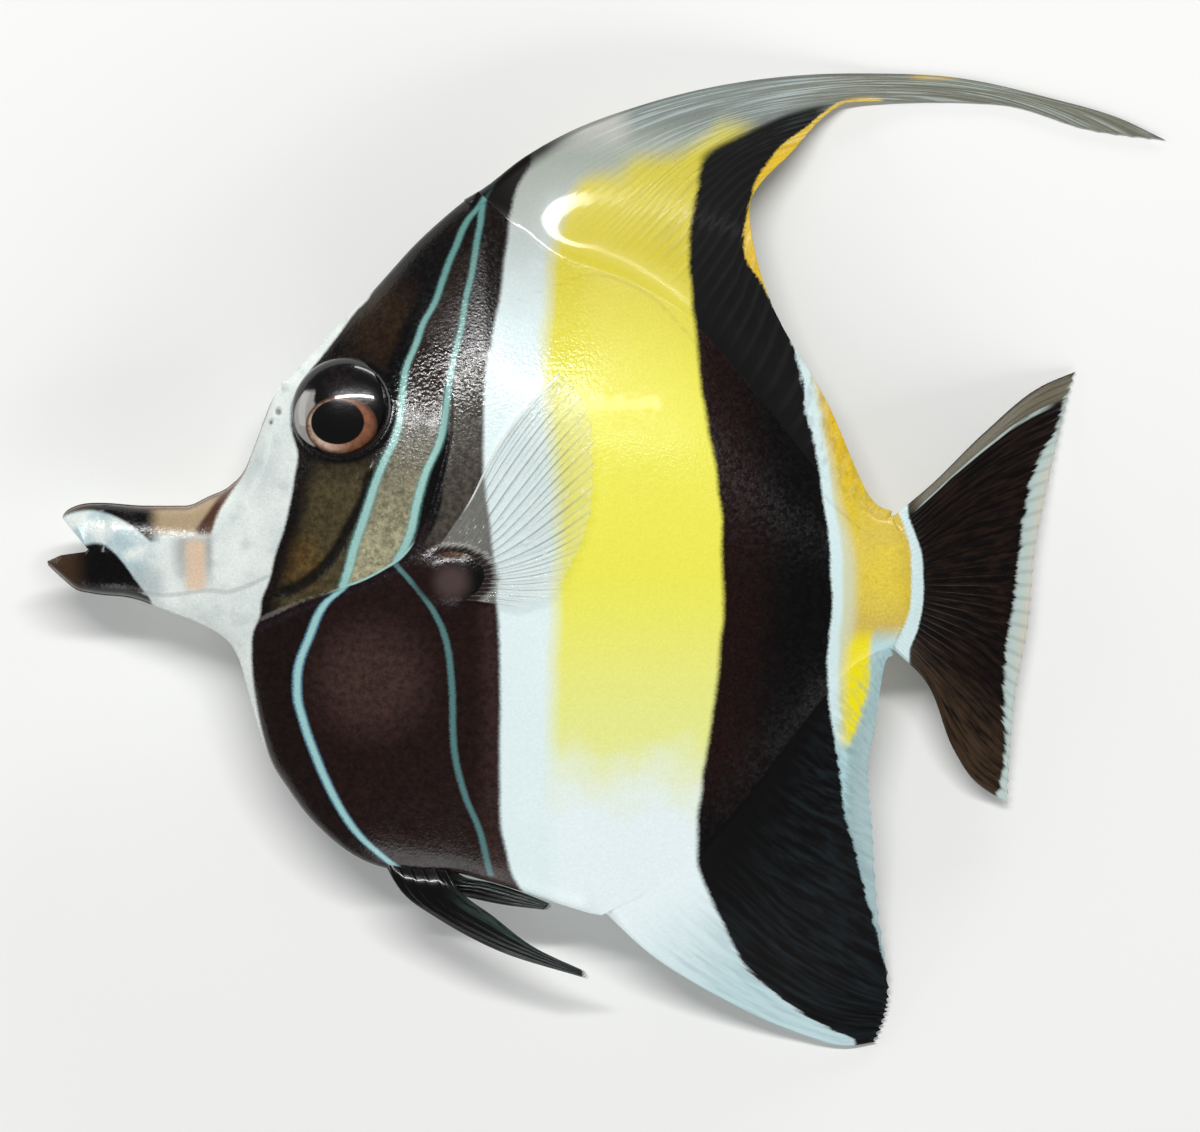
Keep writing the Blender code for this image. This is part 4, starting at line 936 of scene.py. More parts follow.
def buildBandGroup():
    group, given, made = newGroup("idolBands", {"Place": "Vector", "Fin": "Float"},
                                  {"Colour": "Color", "Dark": "Float", "Clear": "Float"})
    x, y = partsOf(given["Place"])[:2]
    grain = noise(given["Place"], *bands["grain"])
    cloud = noise(given["Place"], *bands["cloud"])
    cloudWave, grainWave = bands["wave"]
    centred = minus(cloud, 0.5)
    x = plus(x, scaled(centred, cloudWave, times(minus(grain, 0.5), grainWave)))
    known = {**paintsOf(bands), "x": x, "y": y, "fin": given["Fin"], "grain": grain,
             "cloud": cloud, "sunk": plus(y, times(centred, bands["sinking"])),
             "inside": minus(x, curveAt(y, "secondLeft"))}
    known["bandDepth"] = calc("DIVIDE", known["inside"], fade(y, *bands["bandSoft"]))
    paleFrom, yellowFrom = bands["paleSoft"]
    known["yellowShare"] = addNode("ShaderNodeMapRange", {
        "Value": minus(x, curveAt(y, "paleYellow")), "From Min": paleFrom,
        "From Max": yellowFrom}).outputs[0]
    workOut(known, bands["shares"], bands["recipes"])
    wire(made["Colour"], shaded(known["pattern"], scaled(grain, *bands["shade"])))
    wire(made["Dark"], known["dark"])
    wire(made["Clear"], known["clear"])
    return group


# fine scales, each a low dome

scales = {"dome": 0.75, "grain": (6.0, 3.0, 0.6), "grainHeight": 0.5}


def buildScaleGroup():
    group, given, made = newGroup("fineScales", {"Place": "Vector", "Size": "Float"},
                                  {"Height": "Float", "Fleck": "Float"})
    cells = addNode("ShaderNodeTexVoronoi", {
        "Vector": given["Place"], "Scale": calc("DIVIDE", 1.0, given["Size"])}, feature="F1")
    dome = fade(cells.outputs["Distance"], scales["dome"], 0.0)
    grain = noise(given["Place"], *scales["grain"])
    wire(made["Height"], scaled(grain, scales["grainHeight"], dome))
    wire(made["Fleck"], partsOf(cells.outputs["Color"])[0])
    return group


# the fin rays, from the fin's own map: u across the rays, v along them

finRays = {"edge": (0.24, 0.06), "streakSize": (1.3, 3.0), "streakNoise": (1.6, 3.0, 0.6)}


def buildRayGroup():
    group, given, made = newGroup("finRays", {"Map": "Vector", "Rays": "Float"}, {
        "Ray": "Float", "Streak": "Float", "Along": "Float", "Across": "Float"})
    across, along = partsOf(given["Map"])[:2]
    counted = times(across, given["Rays"])
    wire(made["Ray"], fade(calc("PINGPONG", counted, 0.5), *finRays["edge"]))
    sizeAcross, sizeAlong = finRays["streakSize"]
    streaks = vectorOf(times(counted, sizeAcross), times(along, sizeAlong))
    wire(made["Streak"], noise(streaks, *finRays["streakNoise"]))
    wire(made["Along"], along)
    wire(made["Across"], across)
    return group


# the head's and front band's markings

head = {
    "marks": ("gillDistance", "preopercleDistance", "jawDistance", "lateralDistance",
              "eyeDistance", "outlineDepth", "lobeReach", "mouthInside"),
    "grain": (4.5, 3.0, 0.65), "cloud": (0.22, 3.0), "warp": 0.35, "fleckNoise": (1.5, 4.0, 0.7),
    "flecks": (0.3, 0.7, 0.55, 1.45), "blotchNoise": (0.42, 3.0), "blotchLevel": 7.0,
    "cheekStart": 1.9, "shade": (0.5, 0.75), "scaleSize": 0.34,
    "roughness": (0.14, 0.12), "cloudRoughness": 0.06, "wetRoughness": -0.08,
    "coatNoise": (0.6, 3.0), "coatFade": (0.4, 0.6), "coat": 0.12,
    "dropNoise": (2.2, 1.0), "dropHeight": 4.5, "flatter": (-0.5, 1.0),
    "gloss": {"depth": 0.009, "coatRoughness": 0.06, "specular": 0.35},
    "paints": {
        "white": (0.84, 0.87, 0.855), "shade": (0.67, 0.71, 0.71), "bright": (0.90, 0.92, 0.90),
        "snoutBlue": (0.60, 0.72, 0.75), "black": (0.03, 0.02, 0.022),
        "chinBrown": (0.25, 0.18, 0.12), "saddle": (0.66, 0.58, 0.46),
        "stripe": (0.31, 0.20, 0.16), "orange": (0.87, 0.75, 0.63), "blur": (0.45, 0.42, 0.42),
        "bandBrown": (0.075, 0.04, 0.025), "foreheadBrown": (0.16, 0.105, 0.055),
        "cheek": (0.275, 0.24, 0.15), "cheekLow": (0.34, 0.26, 0.125),
        "betweenHigh": (0.14, 0.10, 0.08), "betweenLow": (0.61, 0.59, 0.475),
        "behindLines": (0.27, 0.25, 0.22), "breast": (0.115, 0.055, 0.045),
        "breastLight": (0.235, 0.165, 0.145), "membrane": (0.11, 0.065, 0.075),
        "lobeLight": (0.31, 0.25, 0.24), "lobeBrown": (0.33, 0.21, 0.09),
        "lineTeal": (0.36, 0.56, 0.54), "linePale": (0.62, 0.79, 0.76),
        "lineBlue": (0.48, 0.70, 0.81), "lineDim": (0.32, 0.47, 0.47),
        "lineDeep": (0.25, 0.45, 0.43), "mouth": (0.20, 0.12, 0.11),
        "nostril": (0.20, 0.19, 0.20)},
    "shares": {
        "below": [("gillDistance", -0.1, 0.25), ("y", 2.6, 0.6)],
        "leftOfA": [("not", ("past", "lineA", 0.2))],
        "onSaddle": [("x", -49.6, -48.2), ("y", 2.2, 3.1), ("not", ("past", "stripeRight", 0.3))],
        "inFront": [("past", "frontRear", 0.42)]},
    "recipes": {
        "betweenSkin": ["betweenHigh", ("betweenLow", ("y", 19.0, -2.0)),
                        ("bandBrown", ("y", 26.0, 34.0))],
        "cheekSkin": ["cheek", ("cheekLow", ("spot", -33.2, -0.3, 4.2))],
        "rearSkin": ["behindLines", ("bandBrown", ("y", 17.0, 24.0)),
                     ("bandBrown", ("y", 2.0, -3.0)),
                     ("black", ("not", ("past", "gapRight", 0.25)), ("y", 16.0, 13.0))],
        "breastSkin": ["breast", ("breastLight", ("spot", -25.0, -12.5, 8.5), 0.9),
                       ("bandBrown", ("not", ("past", "lineC", 0.4)), 0.75),
                       ("breastLight", ("x", -14.6, -12.2), 0.5)],
        "frontSkin": ["bandBrown", ("black", ("cloud", 0.3, 0.7)),
                      ("foreheadBrown", ("spot", -23.5, 24.5, 6.5), 0.85),
                      ("betweenSkin", ("not", "leftOfA")),
                      ("cheekSkin", "leftOfA", ("y", 12.0, 7.0), ("cheekDepth", -1.3, 1.3), 0.95),
                      ("black", ("bell", "preopercleDistance", 0.0, 0.95), "leftOfA", 0.9),
                      ("black", ("bell", "besideA", -1.1, 1.5), ("y", 15.0, 18.0),
                       ("y", 35.0, 30.0)),
                      ("rearSkin", ("past", "lineB", 0.2)), ("breastSkin", "below"),
                      # a dark strip under the gill cover's edge: the gill membrane's own colour,
                      # and painted shade under the raised edge
                      ("membrane", ("bell", "gillDistance", 0.5, 0.7), ("y", 5.0, 3.0))],
        "lipSkin": ["chinBrown", ("black", ("x", -56.5, -53.5))],
        "chinSkin": ["chinBrown", ("black", ("x", -57.5, -54.5))],
        "snoutSkin": ["white", ("bright", ("cloud", 0.35, 0.7)),
                      ("shade", ("blotch", 0.5, 0.75), 0.45),
                      ("snoutBlue", ("x", -46.0, -50.0), ("blotch", 0.35, 0.6), 0.65),
                      # painted shade: two darker spots, low on the snout and on its side before the
                      # eye
                      ("shade", ("spot", -48.9, -2.6, 3.2), 0.75),
                      ("shade", ("spot", -37.3, 9.0, 4.5), 0.45),
                      ("blur", ("x", -46.6, -44.9), ("x", -41.4, -42.2), ("y", -4.0, 1.0),
                       ("y", 3.0, 1.8), 0.55),
                      ("orange", ("x", -45.1, -44.1), ("x", -42.1, -43.0), ("y", -3.9, -2.8),
                       ("y", 2.6, 1.2), 0.85),
                      ("saddle", "onSaddle"), ("stripe", "onSaddle", ("past", "stripeLeft", 0.35)),
                      ("lipSkin", ("above", "wedgeFoot", -0.35, 0.15), ("x", -46.9, -49.0)),
                      ("chinSkin", ("chinDepth", -0.25, 0.3), ("x", -47.9, -48.6)),
                      # painted shade along the jaw line's groove
                      ("shade", ("bell", "jawDistance", 0.0, 0.35), 0.5),
                      # painted shade: darker along the snout's upper outline, where the surface
                      # turns away
                      ("stripe", ("outlineDepth", 0.55, 0.15), ("x", -52.0, -48.0),
                       ("x", -35.2, -36.2), ("y", 0.0, 2.0), 0.8)]},
    # each line's edge, widths, lowest and highest height, paint, pale middle and where it shows
    "lines": [("lineA", (1.55, 1.1), -3.4, 40.0, "lineTeal", 0.85, ("not", "below")),
              ("lineB", (1.5, 1.0), -1.2, 37.6, "lineTeal", 0.85, ("not", "below")),
              ("lineC", (1.3, 1.3), -33.0, -2.0, "lineBlue", 0.85, "below"),
              ("lineD", (0.95, 0.95), -33.6, 0.4, "lineDim", 0.0, "below")],
    "lineMiddle": (0.35, 1.0), "lineDeepening": ("y", 12.0, 34.0, 0.0, 0.75),
    "joined": {
        # painted highlight: a thin pale line along the gill cover's raised edge
        "frontSkin": ["frontSkin", ("linePale", ("bell", "gillDistance", -0.02, 0.16),
                                    ("y", -4.0, -2.5), ("y", 2.0, 1.0))],
        "headSkin": ["snoutSkin", ("frontSkin", ("past", "frontFront", 0.22))]},
    "laterShares": {
        "ochre": [("spot", -15.9, 0.9, 3.2), ("y", -0.3, 0.6), ("y", 2.4, 1.4), 0.75],
        "wet": [("y", 13.0, 17.0), ("y", 25.0, 20.5), ("x", -25.0, -22.5), ("x", 4.0, -2.0)],
        "dull": [("x", -4.5, 0.5), ("y", 10.0, 16.0), ("not", "dark"), 0.2]},
    "laterRecipes": {
        "lobeSkin": ["breast", ("black", ("x", -19.0, -14.0)),
                     # painted sheen: a lighter middle on the gill flap's dome
                     ("lobeLight", ("spot", -16.6, -2.4, 2.7), 0.85), ("lobeBrown", "ochre")],
        "wholeSkin": ["headSkin", ("bandsSkin", "inFront"),
                      ("black", ("eyeDistance", 6.0, 5.5), ("x", -33.6, -32.9)),
                      # painted shade in the nostrils
                      *[("nostril", ("spot", px, py, size * 1.3), 0.6)
                        for px, py, size in relief["nostrils"]],
                      ("lobeBrown", "ochre"),
                      ("lobeSkin", ("lobeReach", 0.98, 0.7),
                       ("z", body["middle"] - 1, body["middle"])),
                      ("mouth", ("mouthInside", 0.05, 0.3)),
                      ("stripe", ("lateralDistance", 0.08, 0.3, 0.12, 0.0), ("not", "dark"),
                       "inFront")]}}


def paintHead(known):
    workOut(known, head["shares"], head["recipes"])
    known["frontSkin"] = shaded(known["frontSkin"], known["flecks"])
    for edge, widths, low, high, paint, middle, where in head["lines"]:
        known["onLine"] = lineMask(known["x"], known["y"], edge, widths, low, high)
        workOut(known, {}, {
            "lineSkin": [paint, ("linePale", ("onLine", *head["lineMiddle"]), middle),
                         ("lineDeep", head["lineDeepening"])],
            "frontSkin": ["frontSkin", ("lineSkin", "onLine", where)]})
    workOut(known, {}, head["joined"])
    known["headSkin"] = shaded(known["headSkin"], scaled(known["grain"], *head["shade"]))


def buildSkinMaterial(bandGroup, scaleGroup):
    material, shader = newMaterial("wetSkin")
    place = useMillimetres()
    x, y, z = partsOf(place)
    grain = noise(place, *head["grain"])
    cloud = noise(place, *head["cloud"])
    warped = plus(x, times(minus(grain, 0.5), head["warp"]))
    banded = useGroup(bandGroup, {"Place": place, "Fin": 0.0})
    known = {**paintsOf(head), **{mark: attribute(mark) for mark in head["marks"]},
             "x": warped, "y": y, "z": z, "grain": grain, "cloud": cloud,
             "bandsSkin": banded["Colour"], "dark": banded["Dark"],
             "flecks": fade(noise(place, *head["fleckNoise"]), *head["flecks"]),
             "blotch": noise(vectorOf(warped, y, head["blotchLevel"]), *head["blotchNoise"]),
             "besideA": minus(warped, curveAt(y, "lineA")),
             "cheekDepth": minus(minus(warped, head["cheekStart"]), curveAt(y, "frontFront")),
             "chinDepth": minus(curveAt(warped, "chinTop"), y)}
    paintHead(known)
    known["x"] = x
    workOut(known, head["laterShares"], head["laterRecipes"])

    scaleMap = useGroup(scaleGroup, {"Place": place, "Size": head["scaleSize"]})
    roughness = plus(scaled(scaleMap["Fleck"], *head["roughness"]),
                     times(cloud, head["cloudRoughness"]))
    roughness = plus(scaled(known["wet"], head["wetRoughness"], roughness), known["dull"])
    coat = times(fade(noise(place, *head["coatNoise"]), *head["coatFade"]), head["coat"])
    drops = times(noise(place, *head["dropNoise"]), known["wet"], head["dropHeight"])
    flatter = scaled(times(known["dark"], known["inFront"]), *head["flatter"])
    height = scaled(scaleMap["Height"], flatter, drops)
    setGloss(shader, known["wholeSkin"], height, roughness, coat, **head["gloss"])
    return material


# the fins' colours, in values along and across each fin

def finTree(name, rayGroup, rays, *paints):
    material, shader = newMaterial(name)
    place = useMillimetres()
    rayMap = addNode("ShaderNodeUVMap", {}, uv_map="rayMap").outputs[0]
    lines = useGroup(rayGroup, {"Map": rayMap, "Rays": float(rays)})
    known = {"place": place, **dict(zip("xyz", partsOf(place))),
             **{name: lines[name] for name in ("Ray", "Streak", "Along", "Across")}}
    for piece in paints:
        known.update(paintsOf(piece))
    known["streakOffset"] = minus(known["Streak"], 0.5)
    return material, shader, known


middleFins = {
    "spread": (0.05, 0.5), "shiftUp": 0.6, "light": (-0.9, 1.0), "speckles": (90.0, 120.0),
    "rayHeight": 0.8, "reliefStart": (0.02, 0.4), "darkRelief": (-0.85, 1.0),
    "coat": (-5.0, -1.0, 0.55, 0.08), "darkRoughness": 0.3,
    "gloss": {"depth": 0.012, "coatRoughness": 0.06, "specular": 0.12},
    "shares": {"outward": ["spread", "light"], "onSail": [("y", 42.0, 46.0), "light"]},
    "recipes": {
        "finSkin": ["bandsSkin",
                    ("margin", ("y", -31.0, -38.0), ("Along", 0.04, 0.55), ("not", "dark"),
                     ("not", "dark"), 0.75),
                    ("streakColour", ("Streak", 0.42, 0.66), "outward", "streak"),
                    ("rayColour", "Ray", "outward", "ray"),
                    ("whiteLine", ("Streak", 0.52, 0.36), "onSail", "pale"),
                    ("streakColour", ("Across", 0.02, 0.004), "onSail", "front"),
                    ("frontBrown", ("Across", 0.045, 0.008), ("x", -2.0, -7.5), "light", 0.9),
                    ("brown", ("speckle", 0.66, 0.74), "outward", "dots")]}}
dorsalPaint = {"paints": {"streakColour": (0.30, 0.30, 0.28), "rayColour": (0.80, 0.82, 0.78)},
               "ragged": 0.8, "streak": 0.22, "ray": 0.07, "pale": 0.36, "front": 0.55,
               "dots": 0.35, "roughness": 0.3, "clear": 0.0}
analPaint = {"paints": {"streakColour": (0.46, 0.60, 0.65), "rayColour": (0.42, 0.55, 0.60)},
             "ragged": 0.9, "streak": 0.3, "ray": 0.1, "pale": 0.0, "front": 0.0, "dots": 0.0,
             "roughness": 0.2, "clear": 0.5}


def buildMiddleFinMaterial(name, form, bandGroup, rayGroup, paint):
    material, shader, known = finTree(name, rayGroup, form["rays"], bands, paint)
    known.update({share: paint[share] for share in ("streak", "ray", "pale", "front", "dots")})
    known["spread"] = fade(known["Along"], *middleFins["spread"])
    shift = times(known["streakOffset"], known["spread"], paint["ragged"])
    moved = vectorOf(plus(known["x"], shift),
                     plus(known["y"], times(shift, middleFins["shiftUp"])), known["z"])
    banded = useGroup(bandGroup, {"Place": moved, "Fin": 1.0})
    dark = known["dark"] = banded["Dark"]
    known["bandsSkin"] = banded["Colour"]
    known["light"] = scaled(dark, *middleFins["light"])
    across, along = middleFins["speckles"]
    speckles = vectorOf(times(known["Across"], across), times(known["Along"], along))
    known["speckle"] = noise(speckles, 1.0, 1.0)
    workOut(known, middleFins["shares"], middleFins["recipes"])
    height = times(plus(times(known["Ray"], middleFins["rayHeight"]), known["Streak"]),
                   fade(known["Along"], *middleFins["reliefStart"]),
                   scaled(dark, *middleFins["darkRelief"]))
    coat = times(known["light"], fade(known["x"], *middleFins["coat"]))
    roughness = scaled(dark, middleFins["darkRoughness"], paint["roughness"])
    setGloss(shader, known["finSkin"], height, roughness, coat, **middleFins["gloss"])
    wire(shader.inputs["Alpha"], minus(1.0, times(banded["Clear"], paint["clear"])))
    return material


tailPaint = {
    "ragged": 1.6, "rayFading": (-0.22, 0.4), "marginClear": 0.42, "stripClear": 0.35,
    "roughness": 0.25, "coat": 0.2,
    "gloss": {"depth": 0.03, "coatRoughness": 0.08, "specular": 0.15},
    "paints": {
        "black": (0.045, 0.028, 0.026), "brown": (0.17, 0.115, 0.085), "low": (0.25, 0.19, 0.135),
        "strip": (0.50, 0.47, 0.38), "margin": (0.80, 0.87, 0.85), "fringe": (0.87, 0.85, 0.78),
        "root": (0.10, 0.07, 0.06)},
    "shares": {"inMargin": [("beyond", -0.25, 0.25)],
               "onStrip": [("bell", "Across", 0.045, 0.055), ("Along", 0.05, 0.2)]},
    "recipes": {
        "marginSkin": ["margin", ("fringe", ("beyond", 0.6, 1.8))],
        "tailSkin": ["black", ("brown", ("Streak", 0.42, 0.7), 0.75),
                     ("low", ("Across", 0.72, 0.95), ("Streak", 0.3, 0.6)),
                     ("strip", "onStrip", 0.85), ("marginSkin", "inMargin"),
                     ("root", "Ray", "rayShown"),
                     # painted highlight: a pale line just inside the upper lobe's front edge
                     ("margin", ("bell", "Across", 0.09, 0.011), ("Along", 0.1, 0.2),
                      ("Along", 0.95, 0.85), ("Streak", 0.3, 0.5), 0.7),
                     ("bandsSkin", ("besideCrescent", 0.35, -0.1))]}}


def buildTailMaterial(rayGroup, bandGroup):
    material, shader, known = finTree("tailFinSkin", rayGroup, tail["rays"], tailPaint)
    x, y = known["x"], known["y"]
    shifted = plus(x, times(known["streakOffset"], tailPaint["ragged"]))
    known["beyond"] = minus(shifted, curveAt(y, "tailMargin"))
    known["besideCrescent"] = minus(x, curveAt(y, "crescentRight"))
    known["bandsSkin"] = useGroup(bandGroup, {"Place": known["place"], "Fin": 0.0})["Colour"]
    workOut(known, tailPaint["shares"], {})
    known["rayShown"] = scaled(known["inMargin"], *tailPaint["rayFading"])
    workOut(known, {}, tailPaint["recipes"])
    setGloss(shader, known["tailSkin"], plus(known["Ray"], known["Streak"]),
             tailPaint["roughness"], tailPaint["coat"], **tailPaint["gloss"])
    clear = calc("MAXIMUM", times(known["inMargin"], tailPaint["marginClear"]),
                 times(known["onStrip"], tailPaint["stripClear"]))
    wire(shader.inputs["Alpha"], minus(1.0, clear))
    return material


pectoralPaint = {
    "ragged": 0.4, "rayStart": (0.1, 0.3), "rayEnd": (0.75, 1.0, 1.0, 0.45),
    "glints": (40.0, 26.0), "bumpNoise": 3.0,
    "bumpHeight": 0.6, "roughness": 0.3, "coat": 0.4, "rayAlpha": (0.27, 0.08),
    "glintAlpha": 0.75, "gloss": {"depth": 0.02, "coatRoughness": 0.05},
    "paints": {"membrane": (0.90, 0.92, 0.88), "rayPaint": (0.46, 0.44, 0.48),
               "glintPaint": (0.93, 0.95, 0.93), "rootDark": (0.14, 0.10, 0.095)},
    "shares": {
        "lobe": [("lobeReach", 1.12, 0.85)],
        "stems": [("fromRay", 0.13, 0.03)],
        "branches": [("fromBranch", 0.22, 0.04), ("Along", 0.4, 0.7), 0.7],
        # painted highlights: sparkles over the membrane and a bright line along the leading edge
        "sparks": [("sparkNoise", 0.62, 0.72), 0.6],
        "leadingGlint": [("Across", 0.032, 0.012), ("Along", 0.2, 0.35), ("Streak", 0.25, 0.5), 0.9]},
    "recipes": {"pectoralSkin": ["membrane", ("rayPaint", "rays"), ("glintPaint", "glint"),
                                 ("rootDark", "lobe")]}}


def buildPectoralMaterial(rayGroup):
    material, shader, known = finTree("pectoralFinSkin", rayGroup, pectoral["rays"],
                                      pectoralPaint)
    reach = ovalReach(known["x"], known["y"], relief["lobeCentre"] + relief["lobeRadii"])
    counted = times(known["Across"], pectoral["rays"])
    across, along = pectoralPaint["glints"]
    sparks = vectorOf(times(known["Across"], across), times(known["Along"], along))
    known.update(lobeReach=plus(reach, times(known["streakOffset"], pectoralPaint["ragged"])),
                 fromRay=calc("PINGPONG", counted, 0.5),
                 fromBranch=calc("PINGPONG", times(counted, 2.0), 0.5),
                 sparkNoise=noise(sparks, 1.0, 2.0))
    workOut(known, pectoralPaint["shares"], {})
    known["rays"] = times(calc("MAXIMUM", known["stems"], known["branches"]),
                          fade(known["Along"], *pectoralPaint["rayStart"]),
                          fade(known["Along"], *pectoralPaint["rayEnd"]))
    known["glint"] = calc("MAXIMUM", known["sparks"], known["leadingGlint"])
    workOut(known, {}, pectoralPaint["recipes"])
    height = plus(known["Ray"], times(noise(known["place"], pectoralPaint["bumpNoise"]),
                                      pectoralPaint["bumpHeight"]))
    setGloss(shader, known["pectoralSkin"], height, pectoralPaint["roughness"],
             times(minus(1.0, known["lobe"]), pectoralPaint["coat"]), **pectoralPaint["gloss"])
    seen = calc("MAXIMUM", scaled(known["rays"], *pectoralPaint["rayAlpha"]),
                times(known["glint"], pectoralPaint["glintAlpha"]))
    wire(shader.inputs["Alpha"], calc("MAXIMUM", seen, known["lobe"]))
    return material


pelvicPaint = {
    "roughness": 0.22, "coat": 0.5, "gloss": {"depth": 0.06, "coatRoughness": 0.06},
    "paints": {"black": (0.03, 0.02, 0.018), "green": (0.20, 0.27, 0.24),
               "pale": (0.50, 0.56, 0.56)},
    "recipes": {"pelvicSkin": [
        "black", ("green", ("Across", 0.35, 0.05), ("Along", 0.15, 0.35), ("Streak", 0.35, 0.6)),
        ("pale", "Ray", ("Along", 0.3, 0.9), 0.3)]}}


def buildPelvicMaterial(rayGroup):
    material, shader, known = finTree("pelvicFinSkin", rayGroup, pelvic["rays"], pelvicPaint)
    workOut(known, {}, pelvicPaint["recipes"])
    setGloss(shader, known["pelvicSkin"], plus(known["Ray"], known["Streak"]),
             pelvicPaint["roughness"], pelvicPaint["coat"], **pelvicPaint["gloss"])
    return material


# the eye's pattern, seen straight on: a black pupil, a brown ring, a silver corner, painted socket
# shade around them and a painted reflection on top

eyePaint = {
    "iris": (-28.2, 13.95, 3.75, 3.05), "pupil": (-28.6, 14.3, 2.8, 2.32),
    "corner": (-28.0, 14.9, 5.3, 4.4), "fibres": (1.6, 4.0, 0.6), "irisFray": 0.12,
    "cornerFray": 0.8, "roughness": 0.22, "coat": 1.0,
    "gloss": {"depth": 0.02, "coatRoughness": 0.02},
    "paints": {
        "black": (0.02, 0.012, 0.015), "ring": (0.86, 0.75, 0.67), "ringRight": (0.56, 0.36, 0.26),
        "ringDark": (0.31, 0.19, 0.13), "silver": (0.58, 0.57, 0.55),
        # blotch: a painted reflection, purple-dark, over the top of the eye
        "blotch": (0.16, 0.11, 0.13)},
    "recipes": {
        "ringSkin": ["ring", ("ringRight", ("x", -31.5, -26.5)),
                     ("ringDark", ("ringEdge", 0.86, 1.06)),
                     ("ringDark", ("fibres", 0.4, 0.7), 0.5)],
        # painted shade: the black base outside the ring stands for the socket's shade, and the
        # blotch layer is the painted reflection; the pupil is black of its own
        "eyeSkin": ["black", ("blotch", ("spot", -28.5, 18.6, 2.6), ("fibres", 0.4, 0.7), 0.8),
                    ("silver", ("cornerX", -30.4, -30.8), ("corner", 1.0, 0.96),
                     ("y", 17.9, 17.3), ("y", 11.4, 12.1)),
                    ("ringSkin", ("iris", 1.03, 0.98)), ("black", ("pupil", 1.03, 0.97))]}}


def buildEyeMaterial():
    material, shader = newMaterial("wetEye")
    place = useMillimetres()
    x, y = partsOf(place)[:2]
    fibres = noise(place, *eyePaint["fibres"])
    known = {**paintsOf(eyePaint), "x": x, "y": y, "fibres": fibres,
             **{oval: ovalReach(x, y, eyePaint[oval]) for oval in ("iris", "pupil", "corner")}}
    known["ringEdge"] = scaled(fibres, eyePaint["irisFray"], known["iris"])
    known["cornerX"] = scaled(fibres, eyePaint["cornerFray"], x)
    workOut(known, {}, eyePaint["recipes"])
    setGloss(shader, known["eyeSkin"], fibres, eyePaint["roughness"], eyePaint["coat"],
             **eyePaint["gloss"])
    return material


bandGroup = buildBandGroup()
scaleGroup = buildScaleGroup()
rayGroup = buildRayGroup()
print("shader groups built")

bodySkin = makeSkin(buildSkinMaterial(bandGroup, scaleGroup))
print("skin made:", len(bodySkin.data.polygons), "faces")

eyeMaterial = buildEyeMaterial()
makeEye("eyeLeft", 1, eyeMaterial, ("eye_left",))
makeEye("eyeRight", -1, eyeMaterial, ("eye_right",))
print("eyes made")

for name, form, edge, outward, paint, slotName, nodes in (
        ("dorsalFin", dorsal, dorsalBase, 1, dorsalPaint, "clear_fin",
         ("dorsal_fin", "dorsal_streamer", "dorsal_fin_rear")),
        ("analFin", anal, analBase, -1, analPaint, "dark_fin", ("anal_fin",))):
    guides = [[edgeStart(edge, x, outward, form["sink"])] + points for x, points in form["guides"]]
    material = buildMiddleFinMaterial(name + "Skin", form, bandGroup, rayGroup, paint)
    makeFin(name, guides, form, middleFin(form, bodyEdgeHalf), material, nodes)
tailGuides = [[tailStart(side)] + points for side, points in tail["guides"]]
makeFin("tailFin", tailGuides, tail, middleFin(tail, bodyEndHalf),
        buildTailMaterial(rayGroup, bandGroup), ("caudal_fin",))
pectoralMaterial = buildPectoralMaterial(rayGroup)
pelvicMaterial = buildPelvicMaterial(rayGroup)
for side, placeFin in (("Left", leftPectoral), ("Right", rightPectoral)):
    makeFin("pectoralFin" + side, pectoral["guides"], pectoral, placeFin, pectoralMaterial,
            ("pectoral_fin_" + side.lower(),))
for side, leftRight in (("Left", 1), ("Right", -1)):
    guides = [[edgeStart(throat, x, -1, pelvic["sink"])] + points
              for x, points in pelvic[side.lower()]]
    makeFin("pelvicFin" + side, guides, pelvic, pelvicFin(leftRight), pelvicMaterial,
            ("pelvic_fin_" + side.lower(),))
print("fins made")


# floor, light and camera

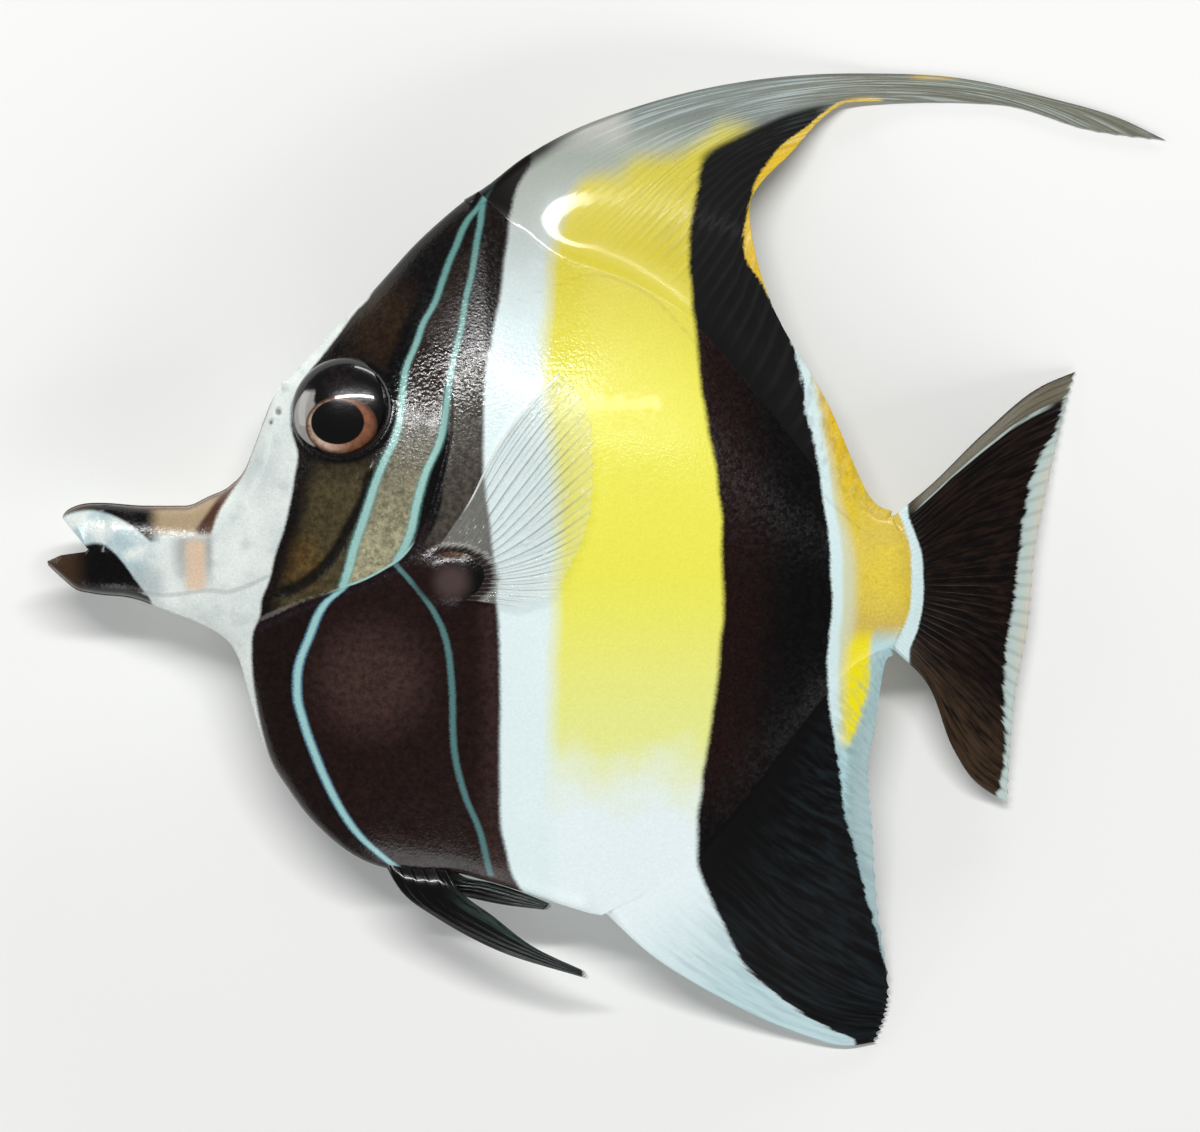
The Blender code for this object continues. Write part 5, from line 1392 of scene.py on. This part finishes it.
studio = {"floorSize": 3.0, "floor": tint(0.95, 0.95, 0.94), "world": tint(0.80, 0.82, 0.84),
          "worldStrength": 0.22, "aim": (-0.00116, -0.00074, 0.008), "distance": 1.0,
          "frameWidth": 0.1263, "sensor": 36.0, "clipStart": 0.01, "floorDrop": 0.00003,
          "floorRoughness": 0.7,
          # each light's name, place, width, height and power
          "lights": [("stripLight", (-0.02, 0.345, 0.66), 0.60, 0.045, 4.2),
                     ("backLight", (0.30, 0.95, 0.20), 0.60, 0.12, 2.8),
                     ("sideLight", (-1.00, 0.20, 0.24), 0.7, 0.4, 3.0),
                     ("lowLight", (0.30, -0.90, 0.34), 1.5, 0.6, 7.6)]}


def makeFloor():
    bm = bmesh.new()
    bmesh.ops.create_grid(bm, x_segments=1, y_segments=1, size=studio["floorSize"] / 2)
    bmesh.ops.translate(bm, verts=bm.verts[:], vec=(0, 0, -studio["floorDrop"]))
    mesh = bpy.data.meshes.new("studioFloor")
    bm.to_mesh(mesh)
    bm.free()
    floor = bpy.data.objects.new("studioFloor", mesh)
    bpy.context.scene.collection.objects.link(floor)
    material, shader = newMaterial("paleFloor")
    shader.inputs["Base Color"].default_value = studio["floor"]
    shader.inputs["Roughness"].default_value = studio["floorRoughness"]
    mesh.materials.append(material)


def makeLights():
    for name, place, width, height, power in studio["lights"]:
        light = bpy.data.lights.new(name, "AREA")
        light.shape = "RECTANGLE"
        light.size = width
        light.size_y = height
        light.energy = power
        lamp = bpy.data.objects.new(name, light)
        lamp.location = place
        lamp.rotation_euler = Vector(place).to_track_quat("Z", "Y").to_euler()
        bpy.context.scene.collection.objects.link(lamp)
    world = bpy.data.worlds.new("studioWorld")
    world.use_nodes = True
    background = world.node_tree.nodes["Background"]
    background.inputs["Color"].default_value = studio["world"]
    background.inputs["Strength"].default_value = studio["worldStrength"]
    bpy.context.scene.world = world
    bpy.context.scene.view_settings.view_transform = "Standard"  # keeps black black and yellow full


def makeCamera():
    data = bpy.data.cameras.new("studioCamera")
    data.sensor_width = studio["sensor"]
    data.lens = studio["sensor"] * studio["distance"] / studio["frameWidth"]
    data.clip_start = studio["clipStart"]
    camera = bpy.data.objects.new("studioCamera", data)
    camera.location = Vector(studio["aim"]) + Vector((0, 0, studio["distance"]))
    bpy.context.scene.collection.objects.link(camera)
    bpy.context.scene.camera = camera


makeFloor()
makeLights()
makeCamera()
print("studio set")
